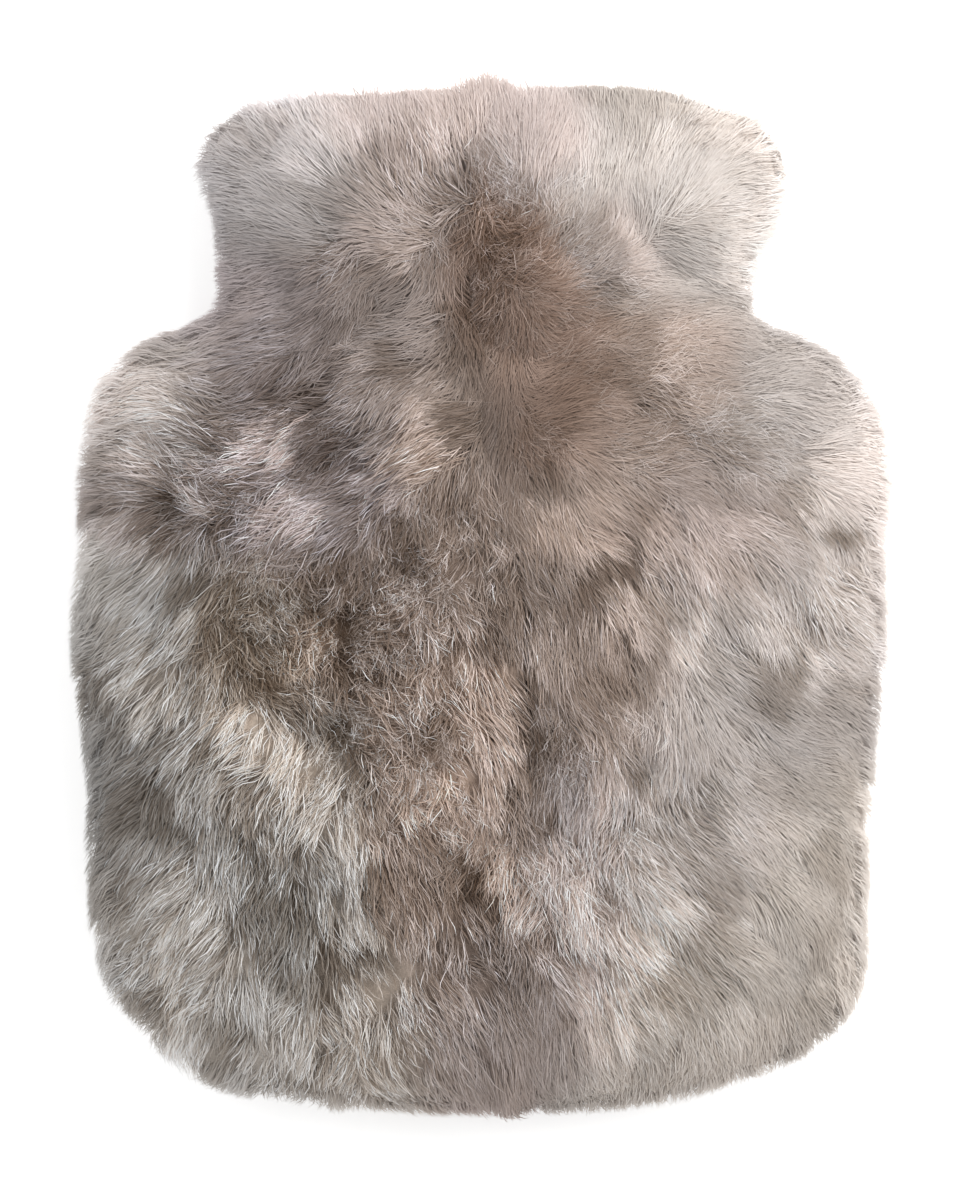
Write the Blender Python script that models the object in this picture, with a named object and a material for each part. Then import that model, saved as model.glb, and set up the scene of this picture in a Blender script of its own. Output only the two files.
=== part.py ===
"""A sheepskin cover for a two litre hot water bottle, lying on its back with its furry front up.

Metres, +Z up, +Y towards the mouth that the bottle goes in by. The origin is the middle of the
underside's box, on the surface that the cover lies on.

The cover is a bag of three skins, sewn wool side out: two front halves that meet in a seam down
the middle, and one back. Each is one solid that is as thick as its skin and wool together. The
wool hangs over the side seam and over both lips of the mouth in locks, which have a narrow strip
of their own along each of those edges.
"""

import math
import random
from collections import namedtuple

import bmesh
import bpy
from mathutils import Vector

MM = 0.001
SEAM_GAP = 0.0003  # between two skins that are sewn together
MERGE = 0.00002  # points nearer than this are one point

# Heights
SEAM_LEVEL = 0.028  # the side seam above the surface that the cover lies on
EDGE_WIDTH = 0.026  # wool, skin and seam allowance between the hollow and the rim

# Cross sections are superellipses. The larger the power, the squarer the shoulder.
FRONT_POWER, HOLLOW_POWER, BACK_POWER = 2.5, 2.7, 3.0
THINNEST = 0.003  # the least thickness of the front at its crown

# The wool's relief dies away down the sides and where the front is lower than this
RELIEF_FADE, RELIEF_CROWN = 0.7, 30

# Faces along each half of the cover, and from the centre line out to the rim
ROWS = 44
FRONT_COLUMNS, BACK_COLUMNS = 13, 8
LIP_STEPS = 24

# The cover from the mouth to its bottom end, in millimetres. Each row is a line across the cover:
# it leaves the centre seam at one point and meets the left and the right rim at two others. Bend
# is how late the line turns towards the rim: 1 is straight. Then come the height of the front
# above the side seam, half the height of the hollow, and the depth of the back below the side
# seam, which is flattened where it meets the surface.
Station = namedtuple(
    "Station", "seam_x seam_y left_x left_y right_x right_y bend crown hollow sole"
)
STATIONS = [
    Station(1, 174, -87, 157, 88, 157, 4.0, 17, 11, 15),  # mouth
    Station(1, 166, -90, 150, 97, 149, 3.0, 26, 12, 20),  # lip
    Station(0, 147, -89, 137, 99, 138, 1.6, 33, 12, 24),  # collar
    Station(-1, 124, -88, 120, 93, 119, 1.0, 34, 12, 25),
    Station(-3, 104, -88, 105, 89, 103, 1.0, 33, 12.5, 25),  # neck
    Station(-2, 92, -97, 94, 98, 93, 1.0, 34, 13, 27),
    Station(-1, 80, -116, 82, 115, 81, 1.0, 37, 14.5, 29),  # shoulder
    Station(0, 66, -129, 66, 128, 67, 1.0, 40, 16.5, 31),
    Station(3, 46, -134, 44, 136, 45, 1.0, 43, 18, 33),  # chest
    Station(10, 20, -135, 17, 136, 17, 1.0, 44, 19, 34),
    Station(15, -6, -137, -8, 137, -10, 1.0, 45, 19, 34),  # belly
    Station(16, -34, -135, -40, 135, -40, 1.0, 45, 19, 34),
    Station(16, -58, -132, -72, 132, -72, 1.0, 44, 18.5, 34),
    Station(13, -80, -131, -104, 131, -104, 1.0, 43, 18, 34),  # hip
    Station(11, -96, -126, -130, 128, -130, 1.0, 42, 17, 34),
    Station(10, -108, -110, -150, 115, -149, 1.0, 41, 16.5, 34),  # bottom corner
    Station(9, -116, -82, -165, 82, -164, 1.0, 41, 16, 34),
    Station(9, -122, -44, -171, 45, -171, 1.0, 41, 15.5, 34),
    Station(9, -126, 9, -174, 9, -174, 1.0, 41, 15, 34),  # bottom end
]

NECK = 4  # the row of the neck

# The furrow where the two front halves meet
FURROW_DEPTH, FURROW_HALF_WIDTH = 0.008, 0.010

# Where the wool parts or lies low, as soft troughs between two points, in millimetres
Trough = namedtuple("Trough", "from_x from_y to_x to_y half_width depth")
TROUGHS = [
    Trough(-90, 18, -66, -22, 11, 5.0),  # left of the belly
    Trough(-66, -22, -44, -58, 10, 5.0),
    Trough(-44, -58, -16, -92, 9, 4.0),
    Trough(-82, 44, -50, 47, 9, 4.5),  # under the left shoulder
    Trough(-50, 47, -20, 30, 9, 3.0),
    Trough(-108, 38, -106, 28, 9, 4.0),  # whorl on the left
    Trough(-52, -8, -28, 12, 9, 3.5),
    Trough(-10, 116, 4, 92, 12, 4.0),  # throat
    Trough(-84, 112, -62, 92, 9, 3.0),
    Trough(-112, 72, -86, 92, 8, 3.5),
    Trough(40, 142, 58, 116, 10, 3.0),  # right of the collar
    Trough(58, 116, 84, 104, 9, 3.0),
    Trough(36, 16, 60, 4, 10, 3.0),  # right of the belly
    Trough(66, 60, 92, 54, 10, 2.5),
    Trough(50, -52, 58, -80, 8, 3.5),
    Trough(30, -76, 40, -108, 8, 3.5),
    Trough(112, -6, 120, -40, 7, 3.5),
    Trough(110, 64, 122, 10, 7, 3.0),
    Trough(-96, -86, -54, -98, 10, 3.0),  # bottom left
    Trough(84, -122, 104, -98, 9, 2.5),  # bottom right
]

# Where the wool stands up in a tuft, in millimetres
Tuft = namedtuple("Tuft", "x y radius height")
TUFTS = [
    Tuft(-62, 66, 16, 3.5),
    Tuft(-28, 72, 15, 3.0),
    Tuft(-104, 6, 18, 3.0),
    Tuft(-32, -22, 14, 3.0),
    Tuft(-76, -60, 18, 3.5),
    Tuft(-8, -60, 13, 3.0),
    Tuft(36, 44, 16, 3.0),
    Tuft(84, 24, 18, 2.5),
    Tuft(90, -50, 18, 2.5),
    Tuft(-52, 134, 18, 3.0),
    Tuft(74, 138, 16, 3.5),
    Tuft(22, 128, 13, 3.0),
    Tuft(-90, -120, 18, 2.5),
    Tuft(62, -112, 15, 3.0),
]

# The even swell of the wool between those
SWELL_HEIGHT, SWELL_LENGTH = 0.0022, 0.036

# Locks of wool along the edges
OUTER_EDGE = 2  # the edge of a strip's section that faces away from the cover
LOCK_SPACING, LOCK_SPACING_SPREAD = 0.0088, 0.24
STRIP_GAP, STRIP_DEPTH, STRIP_TAPER = 0.0007, 0.0018, 0.8
STRIP_HALF_HEIGHT, LIP_STRIP_HALF_HEIGHT = 0.0042, 0.0021
RIM_STRIP_END = 0.9  # the share of the rim's last step that has a strip
LOCK_LENGTH, LIP_LOCK_LENGTH, LOCK_LENGTH_SPREAD = 0.0058, 0.0048, 0.35
LOCK_STEPS = ((0.5, 0.80), (1.0, 0.16))  # share of the length, share of the width
LOCK_LIFT = 0.42  # how far a lock rises or dips for each unit that it stands out
BODY_SWEEP, COLLAR_SWEEP = 0.75, -0.25  # and how far it leans towards the bottom end
SWEEP_SPREAD = (0.6, 1.2)
LIP_REACH = 0.72  # the share of the mouth's half width that has locks

WOOL = {"colour": (0.46, 0.41, 0.37), "roughness": 0.92}
WOOL_SHADE = {
    "front_left": 0.92,
    "front_right": 1.08,
    "back_panel": 1.0,
    "rim_locks_left": 0.98,
    "rim_locks_right": 1.14,
    "lip_locks_front": 1.06,
    "lip_locks_back": 0.94,
}


def clear_scene():
    """Removes what a new file starts with."""
    for thing in list(bpy.data.objects):
        bpy.data.objects.remove(thing)


def station_at(share):
    """The smooth station that lies this share of the way from the mouth to the bottom end."""
    place = share * (len(STATIONS) - 1)
    first = min(int(place), len(STATIONS) - 2)
    t = place - first
    rows = [STATIONS[max(0, min(len(STATIONS) - 1, first + k))] for k in (-1, 0, 1, 2)]
    values = []
    for a, b, c, d in zip(*rows):
        bend = 2 * a - 5 * b + 4 * c - d
        twist = 3 * (b - c) + d - a
        values.append(0.5 * (2 * b + (c - a) * t + bend * t**2 + twist * t**3))
    return Station(*values)


def near_line(x, y, mark):
    """How far the point is from the mark's line, all in millimetres."""
    along_x, along_y = mark.to_x - mark.from_x, mark.to_y - mark.from_y
    t = ((x - mark.from_x) * along_x + (y - mark.from_y) * along_y) / (along_x**2 + along_y**2)
    t = max(0, min(1, t))
    return math.hypot(x - mark.from_x - t * along_x, y - mark.from_y - t * along_y)


def relief(x, y):
    """How far the wool stands above or below its mean height at a place on the front."""
    height = 0.0
    for trough in TROUGHS:
        away = near_line(x / MM, y / MM, trough) / trough.half_width
        height -= trough.depth * MM * math.exp(-(away**2))
    for tuft in TUFTS:
        away = math.hypot(x / MM - tuft.x, y / MM - tuft.y) / tuft.radius
        height += tuft.height * MM * math.exp(-(away**2))
    wave = 2 * math.pi / SWELL_LENGTH
    swell = math.sin(wave * x + 2 * math.sin(0.6 * wave * y))
    swell += math.sin(wave * (0.8 * y - 0.5 * x) + 1.3)
    return height + SWELL_HEIGHT * swell


def rim_of(station, side):
    """The rim point and the seam point of a station, in metres."""
    seam = Vector((station.seam_x, station.seam_y)) * MM
    if side == "left":
        return Vector((station.left_x, station.left_y)) * MM, seam
    return Vector((station.right_x, station.right_y)) * MM, seam


def superellipse(reach, power):
    """The share of the way out and the share of the height, from the crown at 0 to the rim at 1."""
    out = max(0.0, math.sin(reach * math.pi / 2)) ** (2 / power)
    up = max(0.0, math.cos(reach * math.pi / 2)) ** (2 / power)
    return out, up


def across(station, side, out, inset=0.0):
    """A place this share of the way from the seam to a line that lies inset from the rim."""
    rim, seam = rim_of(station, side)
    out *= 1 - inset / (rim - seam).length
    place = seam.lerp(rim, out)
    place.y = seam.y + (rim.y - seam.y) * out**station.bend
    return place


def hollow_point(share, reach, side, way):
    """A point of the hollow that the bottle lies in. Way is 1 for its front and -1 for its back."""
    station = station_at(share)
    out, up = superellipse(reach, HOLLOW_POWER)
    place = across(station, side, out, EDGE_WIDTH)
    height = SEAM_LEVEL + way * (SEAM_GAP / 2 + station.hollow * MM * up)
    return Vector((place.x, place.y, height))


def front_point(share, reach, side):
    """A point of the wool's outer surface on the front."""
    station = station_at(share)
    rim, seam = rim_of(station, side)
    out, up = superellipse(reach, FRONT_POWER)
    place = across(station, side, out)
    from_seam = (rim - seam).length * out
    furrow = FURROW_DEPTH * math.exp(-((from_seam / FURROW_HALF_WIDTH) ** 2))
    fade = up**RELIEF_FADE * min(1.0, station.crown / RELIEF_CROWN)
    height = station.crown * MM * up + (relief(place.x, place.y) - furrow) * fade
    least = (station.hollow * MM + THINNEST) * up
    return Vector((place.x, place.y, SEAM_LEVEL + SEAM_GAP / 2 + max(height, least)))


def back_point(share, reach, side):
    """A point of the wool's outer surface on the back, pressed flat where it lies."""
    station = station_at(share)
    out, up = superellipse(reach, BACK_POWER)
    place = across(station, side, out)
    height = SEAM_LEVEL - SEAM_GAP / 2 - station.sole * MM * up
    return Vector((place.x, place.y, max(0.0, height)))


def seam_shift(share, reach, sides):
    """How far a point moves from the centre seam, so that two skins don't touch there."""
    on_seam = reach < MERGE or share > 1 - MERGE
    if len(sides) == 2 or not on_seam:
        return 0.0
    return -SEAM_GAP / 2 if sides[0] == "left" else SEAM_GAP / 2


def skin(name, sides, columns, outer, way):
    """One skin with its wool: a sheet for each side of the seam, given its thickness by extrusion."""
    shape = bmesh.new()
    layers = [shape.verts.layers.float.new(word) for word in ("share", "reach", "right")]
    for side in sides:
        sheet = bmesh.ops.create_grid(shape, x_segments=columns, y_segments=ROWS, size=1)
        for vert in sheet["verts"]:
            vert[layers[0]] = (vert.co.y + 1) / 2
            vert[layers[1]] = (vert.co.x + 1) / 2
            vert[layers[2]] = float(side == "right")
            vert.co = outer(vert[layers[0]], vert[layers[1]], side)
            vert.co.x += seam_shift(vert[layers[0]], vert[layers[1]], sides)
    bmesh.ops.remove_doubles(shape, verts=shape.verts, dist=MERGE)
    thick = bmesh.ops.extrude_face_region(shape, geom=shape.faces[:])
    for vert in (item for item in thick["geom"] if isinstance(item, bmesh.types.BMVert)):
        share, reach = vert[layers[0]], vert[layers[1]]
        side = "right" if vert[layers[2]] > 0.5 else "left"
        vert.co = hollow_point(share, reach, side, way)
        vert.co.x += seam_shift(share, reach, sides)
    bmesh.ops.remove_doubles(shape, verts=shape.verts, dist=MERGE)
    bmesh.ops.recalc_face_normals(shape, faces=shape.faces)
    return finish(name, shape)


def finish(name, shape):
    """Turns the shape into a named object with its own wool."""
    mesh = bpy.data.meshes.new(name)
    shape.to_mesh(mesh)
    shape.free()
    mesh.shade_smooth()
    mesh.set_sharp_from_angle(angle=math.radians(50))
    wool = bpy.data.materials.new(name)
    wool.use_nodes = True
    shader = wool.node_tree.nodes["Principled BSDF"]
    shade = WOOL_SHADE[name]
    shader.inputs["Base Color"].default_value = (*(shade * c for c in WOOL["colour"]), 1)
    shader.inputs["Roughness"].default_value = WOOL["roughness"]
    mesh.materials.append(wool)
    thing = bpy.data.objects.new(name, mesh)
    bpy.context.scene.collection.objects.link(thing)
    return thing


def spread_along(line, spacing, chance):
    """An odd number of points along a line, at a spacing that varies a little."""
    lengths = [0.0]
    for a, b in zip(line, line[1:]):
        lengths.append(lengths[-1] + (b - a).length)
    steps = 2 * round(lengths[-1] / spacing / 2)
    points, k = [], 0
    for n in range(steps + 1):
        stray = chance.uniform(-1, 1) * LOCK_SPACING_SPREAD if 0 < n < steps else 0
        along = lengths[-1] * (n + stray) / steps
        while k < len(line) - 2 and lengths[k + 1] < along:
            k += 1
        points.append(line[k].lerp(line[k + 1], (along - lengths[k]) / (lengths[k + 1] - lengths[k])))
    return points


def lock_strip(name, line, outward, half_height, length, seed):
    """A narrow strip along a line, with a lock of wool on every second face of its outer side."""
    chance = random.Random(seed)
    points = spread_along(line, LOCK_SPACING / 2, chance)
    shape = bmesh.new()
    rings = []
    for k, point in enumerate(points):
        ahead = points[min(k + 1, len(points) - 1)] - points[max(k - 1, 0)]
        out = outward(ahead)
        up = Vector((0, 0, half_height))
        near, far = point + out * STRIP_GAP, point + out * (STRIP_GAP + STRIP_DEPTH)
        corners = (near - up, near + up, far + up * STRIP_TAPER, far - up * STRIP_TAPER)
        rings.append([shape.verts.new(corner) for corner in corners])
    outer_faces = []
    for k, (a, b) in enumerate(zip(rings, rings[1:])):
        for edge in range(4):
            after = (edge + 1) % 4
            face = shape.faces.new((a[edge], a[after], b[after], b[edge]))
            if edge == OUTER_EDGE and k % 2 and k < len(rings) - 2:
                outer_faces.append(face)
    shape.faces.new(rings[0][::-1])
    shape.faces.new(rings[-1])
    bmesh.ops.recalc_face_normals(shape, faces=shape.faces)
    for face in outer_faces:
        grow_lock(shape, face, length, chance)
    return finish(name, shape)


def grow_lock(shape, face, length, chance):
    """Draws one face out into a lock that thins to a tip."""
    out = face.normal.copy()
    middle = face.calc_center_median()
    long = length * (1 + LOCK_LENGTH_SPREAD * chance.uniform(-1, 1))
    lift = LOCK_LIFT * chance.uniform(-1, 1)
    on_collar = middle.y > STATIONS[NECK].seam_y * MM
    sweep = (COLLAR_SWEEP if on_collar else BODY_SWEEP) * chance.uniform(*SWEEP_SPREAD) * abs(out.x)
    way = out + Vector((0, -sweep, lift))
    corners = [vert.co - middle for vert in face.verts]
    for share, width in LOCK_STEPS:
        grown = bmesh.ops.extrude_discrete_faces(shape, faces=[face])["faces"][0]
        place = middle + way * long * share
        for vert, corner in zip(grown.verts, corners):
            vert.co = place + corner * width
        face = grown


def rim_line(side):
    """The rim of the walls on one side, from the mouth to the bottom end."""
    line = []
    for n in range(ROWS + 1):
        rim, _ = rim_of(station_at(n / ROWS), side)
        line.append(Vector((rim.x, rim.y, SEAM_LEVEL)))
    line[-1] = line[-2].lerp(line[-1], RIM_STRIP_END)
    return line


def lip_line(way):
    """The middle of the thin edge that a wall shows at the mouth."""
    mouth = station_at(0)
    outer = front_point if way > 0 else back_point
    points = {}
    for side, sign in (("left", -1), ("right", 1)):
        rim, seam = rim_of(mouth, side)
        for n in range(LIP_STEPS + 1):
            reach = LIP_REACH * n / LIP_STEPS
            edge = outer(0, reach, side).lerp(hollow_point(0, reach, side, way), 0.5)
            place = across(mouth, side, (edge.x - seam.x) / (rim.x - seam.x))
            points[sign * n] = Vector((place.x, place.y, edge.z))
    return [points[n] for n in sorted(points)]


def away_from_cover(side):
    """Outward across the rim, level with it."""
    turn = 1 if side == "left" else -1

    def outward(ahead):
        flat = Vector((ahead.x, ahead.y, 0)).normalized()
        return Vector((turn * flat.y, -turn * flat.x, 0))

    return outward


def out_of_mouth(ahead):
    """Outward across a lip, level with it."""
    flat = Vector((ahead.x, ahead.y, 0)).normalized()
    return Vector((-flat.y, flat.x, 0))


def stand_on_origin():
    """Centres the cover's box on the origin, with its underside on the surface."""
    things = [thing for thing in bpy.data.objects if thing.type == "MESH"]
    corners = [vert.co for thing in things for vert in thing.data.vertices]
    low = Vector(min(c[k] for c in corners) for k in range(3))
    high = Vector(max(c[k] for c in corners) for k in range(3))
    shift = Vector((-(low.x + high.x) / 2, -(low.y + high.y) / 2, -low.z))
    for thing in things:
        for vert in thing.data.vertices:
            vert.co += shift


def main():
    clear_scene()
    skin("front_left", ("left",), FRONT_COLUMNS, front_point, 1)
    skin("front_right", ("right",), FRONT_COLUMNS, front_point, 1)
    skin("back_panel", ("left", "right"), BACK_COLUMNS, back_point, -1)
    for seed, side in enumerate(("left", "right")):
        lock_strip(
            f"rim_locks_{side}",
            rim_line(side),
            away_from_cover(side),
            STRIP_HALF_HEIGHT,
            LOCK_LENGTH,
            seed,
        )
    for seed, (name, way) in enumerate((("front", 1), ("back", -1))):
        lock_strip(
            f"lip_locks_{name}",
            lip_line(way),
            out_of_mouth,
            LIP_STRIP_HALF_HEIGHT,
            LIP_LOCK_LENGTH,
            seed + 2,
        )
    stand_on_origin()


main()
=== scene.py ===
"""The looks of a sheepskin cover for a hot water bottle, seen from above as it lies on its back."""

import math
from types import SimpleNamespace

import bmesh
import bpy
import numpy as np
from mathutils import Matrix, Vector
from mathutils.bvhtree import BVHTree


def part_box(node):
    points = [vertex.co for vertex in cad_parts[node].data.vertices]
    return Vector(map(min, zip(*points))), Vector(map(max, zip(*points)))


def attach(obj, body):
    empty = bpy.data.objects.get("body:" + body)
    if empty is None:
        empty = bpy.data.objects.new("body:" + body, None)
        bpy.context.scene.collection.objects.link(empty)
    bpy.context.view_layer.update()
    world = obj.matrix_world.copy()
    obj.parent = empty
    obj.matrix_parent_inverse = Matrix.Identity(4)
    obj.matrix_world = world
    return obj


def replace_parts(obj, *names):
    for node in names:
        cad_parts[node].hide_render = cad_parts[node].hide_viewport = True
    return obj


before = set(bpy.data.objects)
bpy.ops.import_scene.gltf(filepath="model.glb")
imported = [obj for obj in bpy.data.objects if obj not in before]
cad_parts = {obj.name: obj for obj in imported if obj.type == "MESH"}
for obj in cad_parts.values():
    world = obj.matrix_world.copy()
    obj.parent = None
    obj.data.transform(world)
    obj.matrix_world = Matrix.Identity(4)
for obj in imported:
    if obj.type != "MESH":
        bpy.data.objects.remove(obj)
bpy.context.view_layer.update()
MM = 0.001

# ---------------------------------------------------------------------------------------------
# The studio: a plain white table, a large soft lamp high on the right, a weaker and cooler one on
# the left, and pale light all round. The camera looks straight down on the cover's front.
# ---------------------------------------------------------------------------------------------
LAMPS = (  # a lamp's name, place, width, power and colour
    ("key_lamp", (0.85, 0.65, 0.95), 1.4, 17.5, (1.0, 0.985, 0.96)),
    ("fill_lamp", (-0.9, 0.3, 0.9), 0.9, 2.5, (0.95, 0.98, 1.0)),
)
ROOM_LIGHT = 0.56
TABLE_SIZE, TABLE_SHADE, TABLE_GLOW = 40.0, 0.93, 0.5
PICTURE_HEIGHT = 420 * MM  # how much of the table the picture takes in
PICTURE_MIDDLE = Vector((-0.7 * MM, 0.0, 45 * MM))
CAMERA_DISTANCE, SENSOR_HEIGHT = 1.1, 36

for name, place, width, power, colour in LAMPS:
    lamp = bpy.data.lights.new(name, "AREA")
    lamp.shape = "DISK"
    lamp.size = width
    lamp.energy = power
    lamp.color = colour
    lamp_object = bpy.data.objects.new(name, lamp)
    lamp_object.location = place
    lamp_object.rotation_euler = (-Vector(place)).to_track_quat("-Z", "Y").to_euler()
    bpy.context.scene.collection.objects.link(lamp_object)

world = bpy.data.worlds.new("studio")
world.use_nodes = True
world.node_tree.nodes["Background"].inputs["Color"].default_value = (1, 1, 1, 1)
world.node_tree.nodes["Background"].inputs["Strength"].default_value = ROOM_LIGHT
bpy.context.scene.world = world
bpy.context.scene.view_settings.view_transform = "Standard"

shape = bmesh.new()
bmesh.ops.create_grid(shape, x_segments=1, y_segments=1, size=TABLE_SIZE / 2)
mesh = bpy.data.meshes.new("table")
shape.to_mesh(mesh)
shape.free()
table = bpy.data.objects.new("table", mesh)
bpy.context.scene.collection.objects.link(table)
white = bpy.data.materials.new("table_white")
white.use_nodes = True
shader = white.node_tree.nodes["Principled BSDF"]
shader.inputs["Base Color"].default_value = (TABLE_SHADE, TABLE_SHADE, TABLE_SHADE, 1)
shader.inputs["Roughness"].default_value = 0.9
shader.inputs["Emission Color"].default_value = (1, 1, 1, 1)
shader.inputs["Emission Strength"].default_value = TABLE_GLOW
mesh.materials.append(white)

camera = bpy.data.cameras.new("camera")
camera.sensor_fit = "VERTICAL"
camera.sensor_height = SENSOR_HEIGHT
camera.lens = SENSOR_HEIGHT * CAMERA_DISTANCE / PICTURE_HEIGHT
camera_object = bpy.data.objects.new("camera", camera)
camera_object.location = PICTURE_MIDDLE + Vector((0, 0, CAMERA_DISTANCE))
bpy.context.scene.collection.objects.link(camera_object)
bpy.context.scene.camera = camera_object

# ---------------------------------------------------------------------------------------------
# The hides: three sheepskins sewn together with their suede side in, which is the inside of the
# bag and shows only in the mouth. Each lies against its panel's hollow and is as thick as the skin.
# ---------------------------------------------------------------------------------------------
HIDES = {  # a hide's panel, and the width, length and area of the skin that is cut for it
    "hide_front_left": ("front_left", (0.130, 0.335), 0.0357),
    "hide_front_right": ("front_right", (0.117, 0.335), 0.0315),
    "hide_back": ("back_panel", (0.226, 0.335), 0.0670),
}
PANELS = ("front_left", "front_right", "back_panel")
HIDE_THICKNESS = 1.2 * MM
WOOL_SIDE, SKIN_SIDE = 0, 1  # a panel's sides by their size: the wool's outer surface, the hollow's
CREASE = math.radians(50)  # the angle that parts a panel's sides
SAME_POINT = 0.01 * MM
SEAM_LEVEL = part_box("back_panel")[1].z
CENTRE_SEAM, SIDEWAYS = 22 * MM, 0.9  # the centre seam stays within this of the middle, and faces it


def panel_sides(node):
    """A panel's solid, and its sides by size. The face of the centre seam is in none of them."""
    shape = bmesh.new()
    shape.from_mesh(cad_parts[node].data)
    bmesh.ops.remove_doubles(shape, verts=shape.verts, dist=SAME_POINT)
    shape.normal_update()
    left, sides = set(shape.faces), []
    while left:
        queue = [left.pop()]
        side = list(queue)
        while queue:
            for edge in queue.pop().edges:
                near = [face for face in edge.link_faces
                        if face in left and edge.calc_face_angle(0) < CREASE]
                left.difference_update(near)
                queue += near
                side += near
        sides.append(side)
    sides.sort(key=lambda side: sum(face.calc_area() for face in side), reverse=True)
    centre = [face for face in sides[WOOL_SIDE] if abs(face.normal.x) > SIDEWAYS
              and abs(face.calc_center_median().x) < CENTRE_SEAM]
    sides[WOOL_SIDE] = [face for face in sides[WOOL_SIDE] if face not in centre]
    return shape, sides


def one_side(node, number):
    """An open sheet with the shape of one side of a panel."""
    shape, sides = panel_sides(node)
    keep = set(sides[number])
    bmesh.ops.delete(shape, geom=[face for face in shape.faces if face not in keep], context="FACES")
    shape.normal_update()
    return shape


def placed(name, mesh, material):
    """A finished piece that rides on the cover."""
    piece = bpy.data.objects.new(name, mesh)
    bpy.context.scene.collection.objects.link(piece)
    mesh.materials.append(material)
    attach(piece, "root")
    return piece


def maker(tree):
    """Two functions for the nodes of a material or group: one adds a node, one sets a node's inputs."""
    def make(kind, settings=None, **inputs):
        node = tree.nodes.new(kind)
        for key, value in (settings or {}).items():
            setattr(node, key, value)
        join(node, inputs)
        return node

    def join(node, inputs):
        for key, value in inputs.items():
            socket = node.inputs[int(key[1:]) if key[0] == "_" else key.replace("_", " ")]
            if isinstance(value, bpy.types.NodeSocket):
                tree.links.new(value, socket)
            else:
                socket.default_value = value

    return make, join


def finish(name):
    """A new material, with the functions for its nodes."""
    material = bpy.data.materials.new(name)
    material.use_nodes = True
    return material, *maker(material.node_tree)


suede, make, join = finish("suede")
place = make("ShaderNodeTexCoord").outputs["Object"]
clouds = make("ShaderNodeTexNoise", Vector=place, Scale=70.0, Detail=3.0, Roughness=0.6)
nap = make("ShaderNodeTexNoise", Vector=place, Scale=1400.0, Detail=3.0, Roughness=0.7)
pores = make("ShaderNodeTexVoronoi", Vector=place, Scale=900.0)
tanned = make("ShaderNodeValToRGB", Fac=clouds.outputs["Fac"])
tanned.color_ramp.elements[0].position = 0.3
tanned.color_ramp.elements[0].color = (0.50, 0.42, 0.34, 1)
tanned.color_ramp.elements[1].position = 0.7
tanned.color_ramp.elements[1].color = (0.70, 0.62, 0.53, 1)
grain = make("ShaderNodeMapRange", Value=nap.outputs["Fac"], To_Min=0.78, To_Max=1.18)
tinted = make("ShaderNodeVectorMath", {"operation": "SCALE"}, _0=tanned.outputs["Color"],
              Scale=grain.outputs["Result"])
height = make("ShaderNodeMath", {"operation": "ADD"}, _0=nap.outputs["Fac"],
              _1=pores.outputs["Distance"])
relief = make("ShaderNodeBump", Strength=0.5, Distance=0.0004, Height=height.outputs["Value"])
join(suede.node_tree.nodes["Principled BSDF"], {
    "Base_Color": tinted.outputs["Vector"], "Normal": relief.outputs["Normal"], "Roughness": 0.95,
    "Specular_IOR_Level": 0.2, "Sheen_Weight": 0.35, "Sheen_Roughness": 0.6})

for name, (node, flat, area) in HIDES.items():
    shape = one_side(node, SKIN_SIDE)
    mesh = bpy.data.meshes.new(name)
    shape.to_mesh(mesh)
    shape.free()
    mesh.shade_smooth()
    hide = placed(name, mesh, suede)
    skin = hide.modifiers.new("skin", "SOLIDIFY")
    skin.thickness = HIDE_THICKNESS
    skin.offset = -1

# ---------------------------------------------------------------------------------------------
# The seams: the hides are overcast edge to edge from inside with waxed linen thread, down the
# middle of the front and round both sides and the bottom.
# ---------------------------------------------------------------------------------------------
STITCH_PITCH, STITCH_REACH, STITCH_SLANT, STITCH_BULGE = 4.2 * MM, 2.2 * MM, 1.2 * MM, 0.5 * MM
THREAD_RADIUS = 0.35 * MM
ON_SEAM = 0.5 * MM
CENTRE_CLEARANCE, CENTRE_END = 3 * MM, 173 * MM  # the centre seam stays off the side seam and the lip

linen, make, join = finish("waxed_linen")
place = make("ShaderNodeTexCoord").outputs["Object"]
fibre = make("ShaderNodeTexNoise", Vector=place, Scale=2600.0, Detail=2.0)
dyed = make("ShaderNodeValToRGB", Fac=fibre.outputs["Fac"])
dyed.color_ramp.elements[0].color = (0.42, 0.35, 0.27, 1)
dyed.color_ramp.elements[1].color = (0.74, 0.66, 0.55, 1)
relief = make("ShaderNodeBump", Strength=0.4, Distance=0.0002, Height=fibre.outputs["Fac"])
join(linen.node_tree.nodes["Principled BSDF"], {
    "Base_Color": dyed.outputs["Color"], "Normal": relief.outputs["Normal"], "Roughness": 0.55})

skins = {}
for node in PANELS:
    shape = one_side(node, SKIN_SIDE)
    skins[node] = BVHTree.FromBMesh(shape)
    shape.free()


def rim_of(node, on_seam):
    """The points of a hide's rim that lie on a seam."""
    shape = one_side(node, SKIN_SIDE)
    points = {vert.co.copy().freeze() for edge in shape.edges if len(edge.link_faces) == 1
              for vert in edge.verts if on_seam(vert.co)}
    shape.free()
    return points


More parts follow.
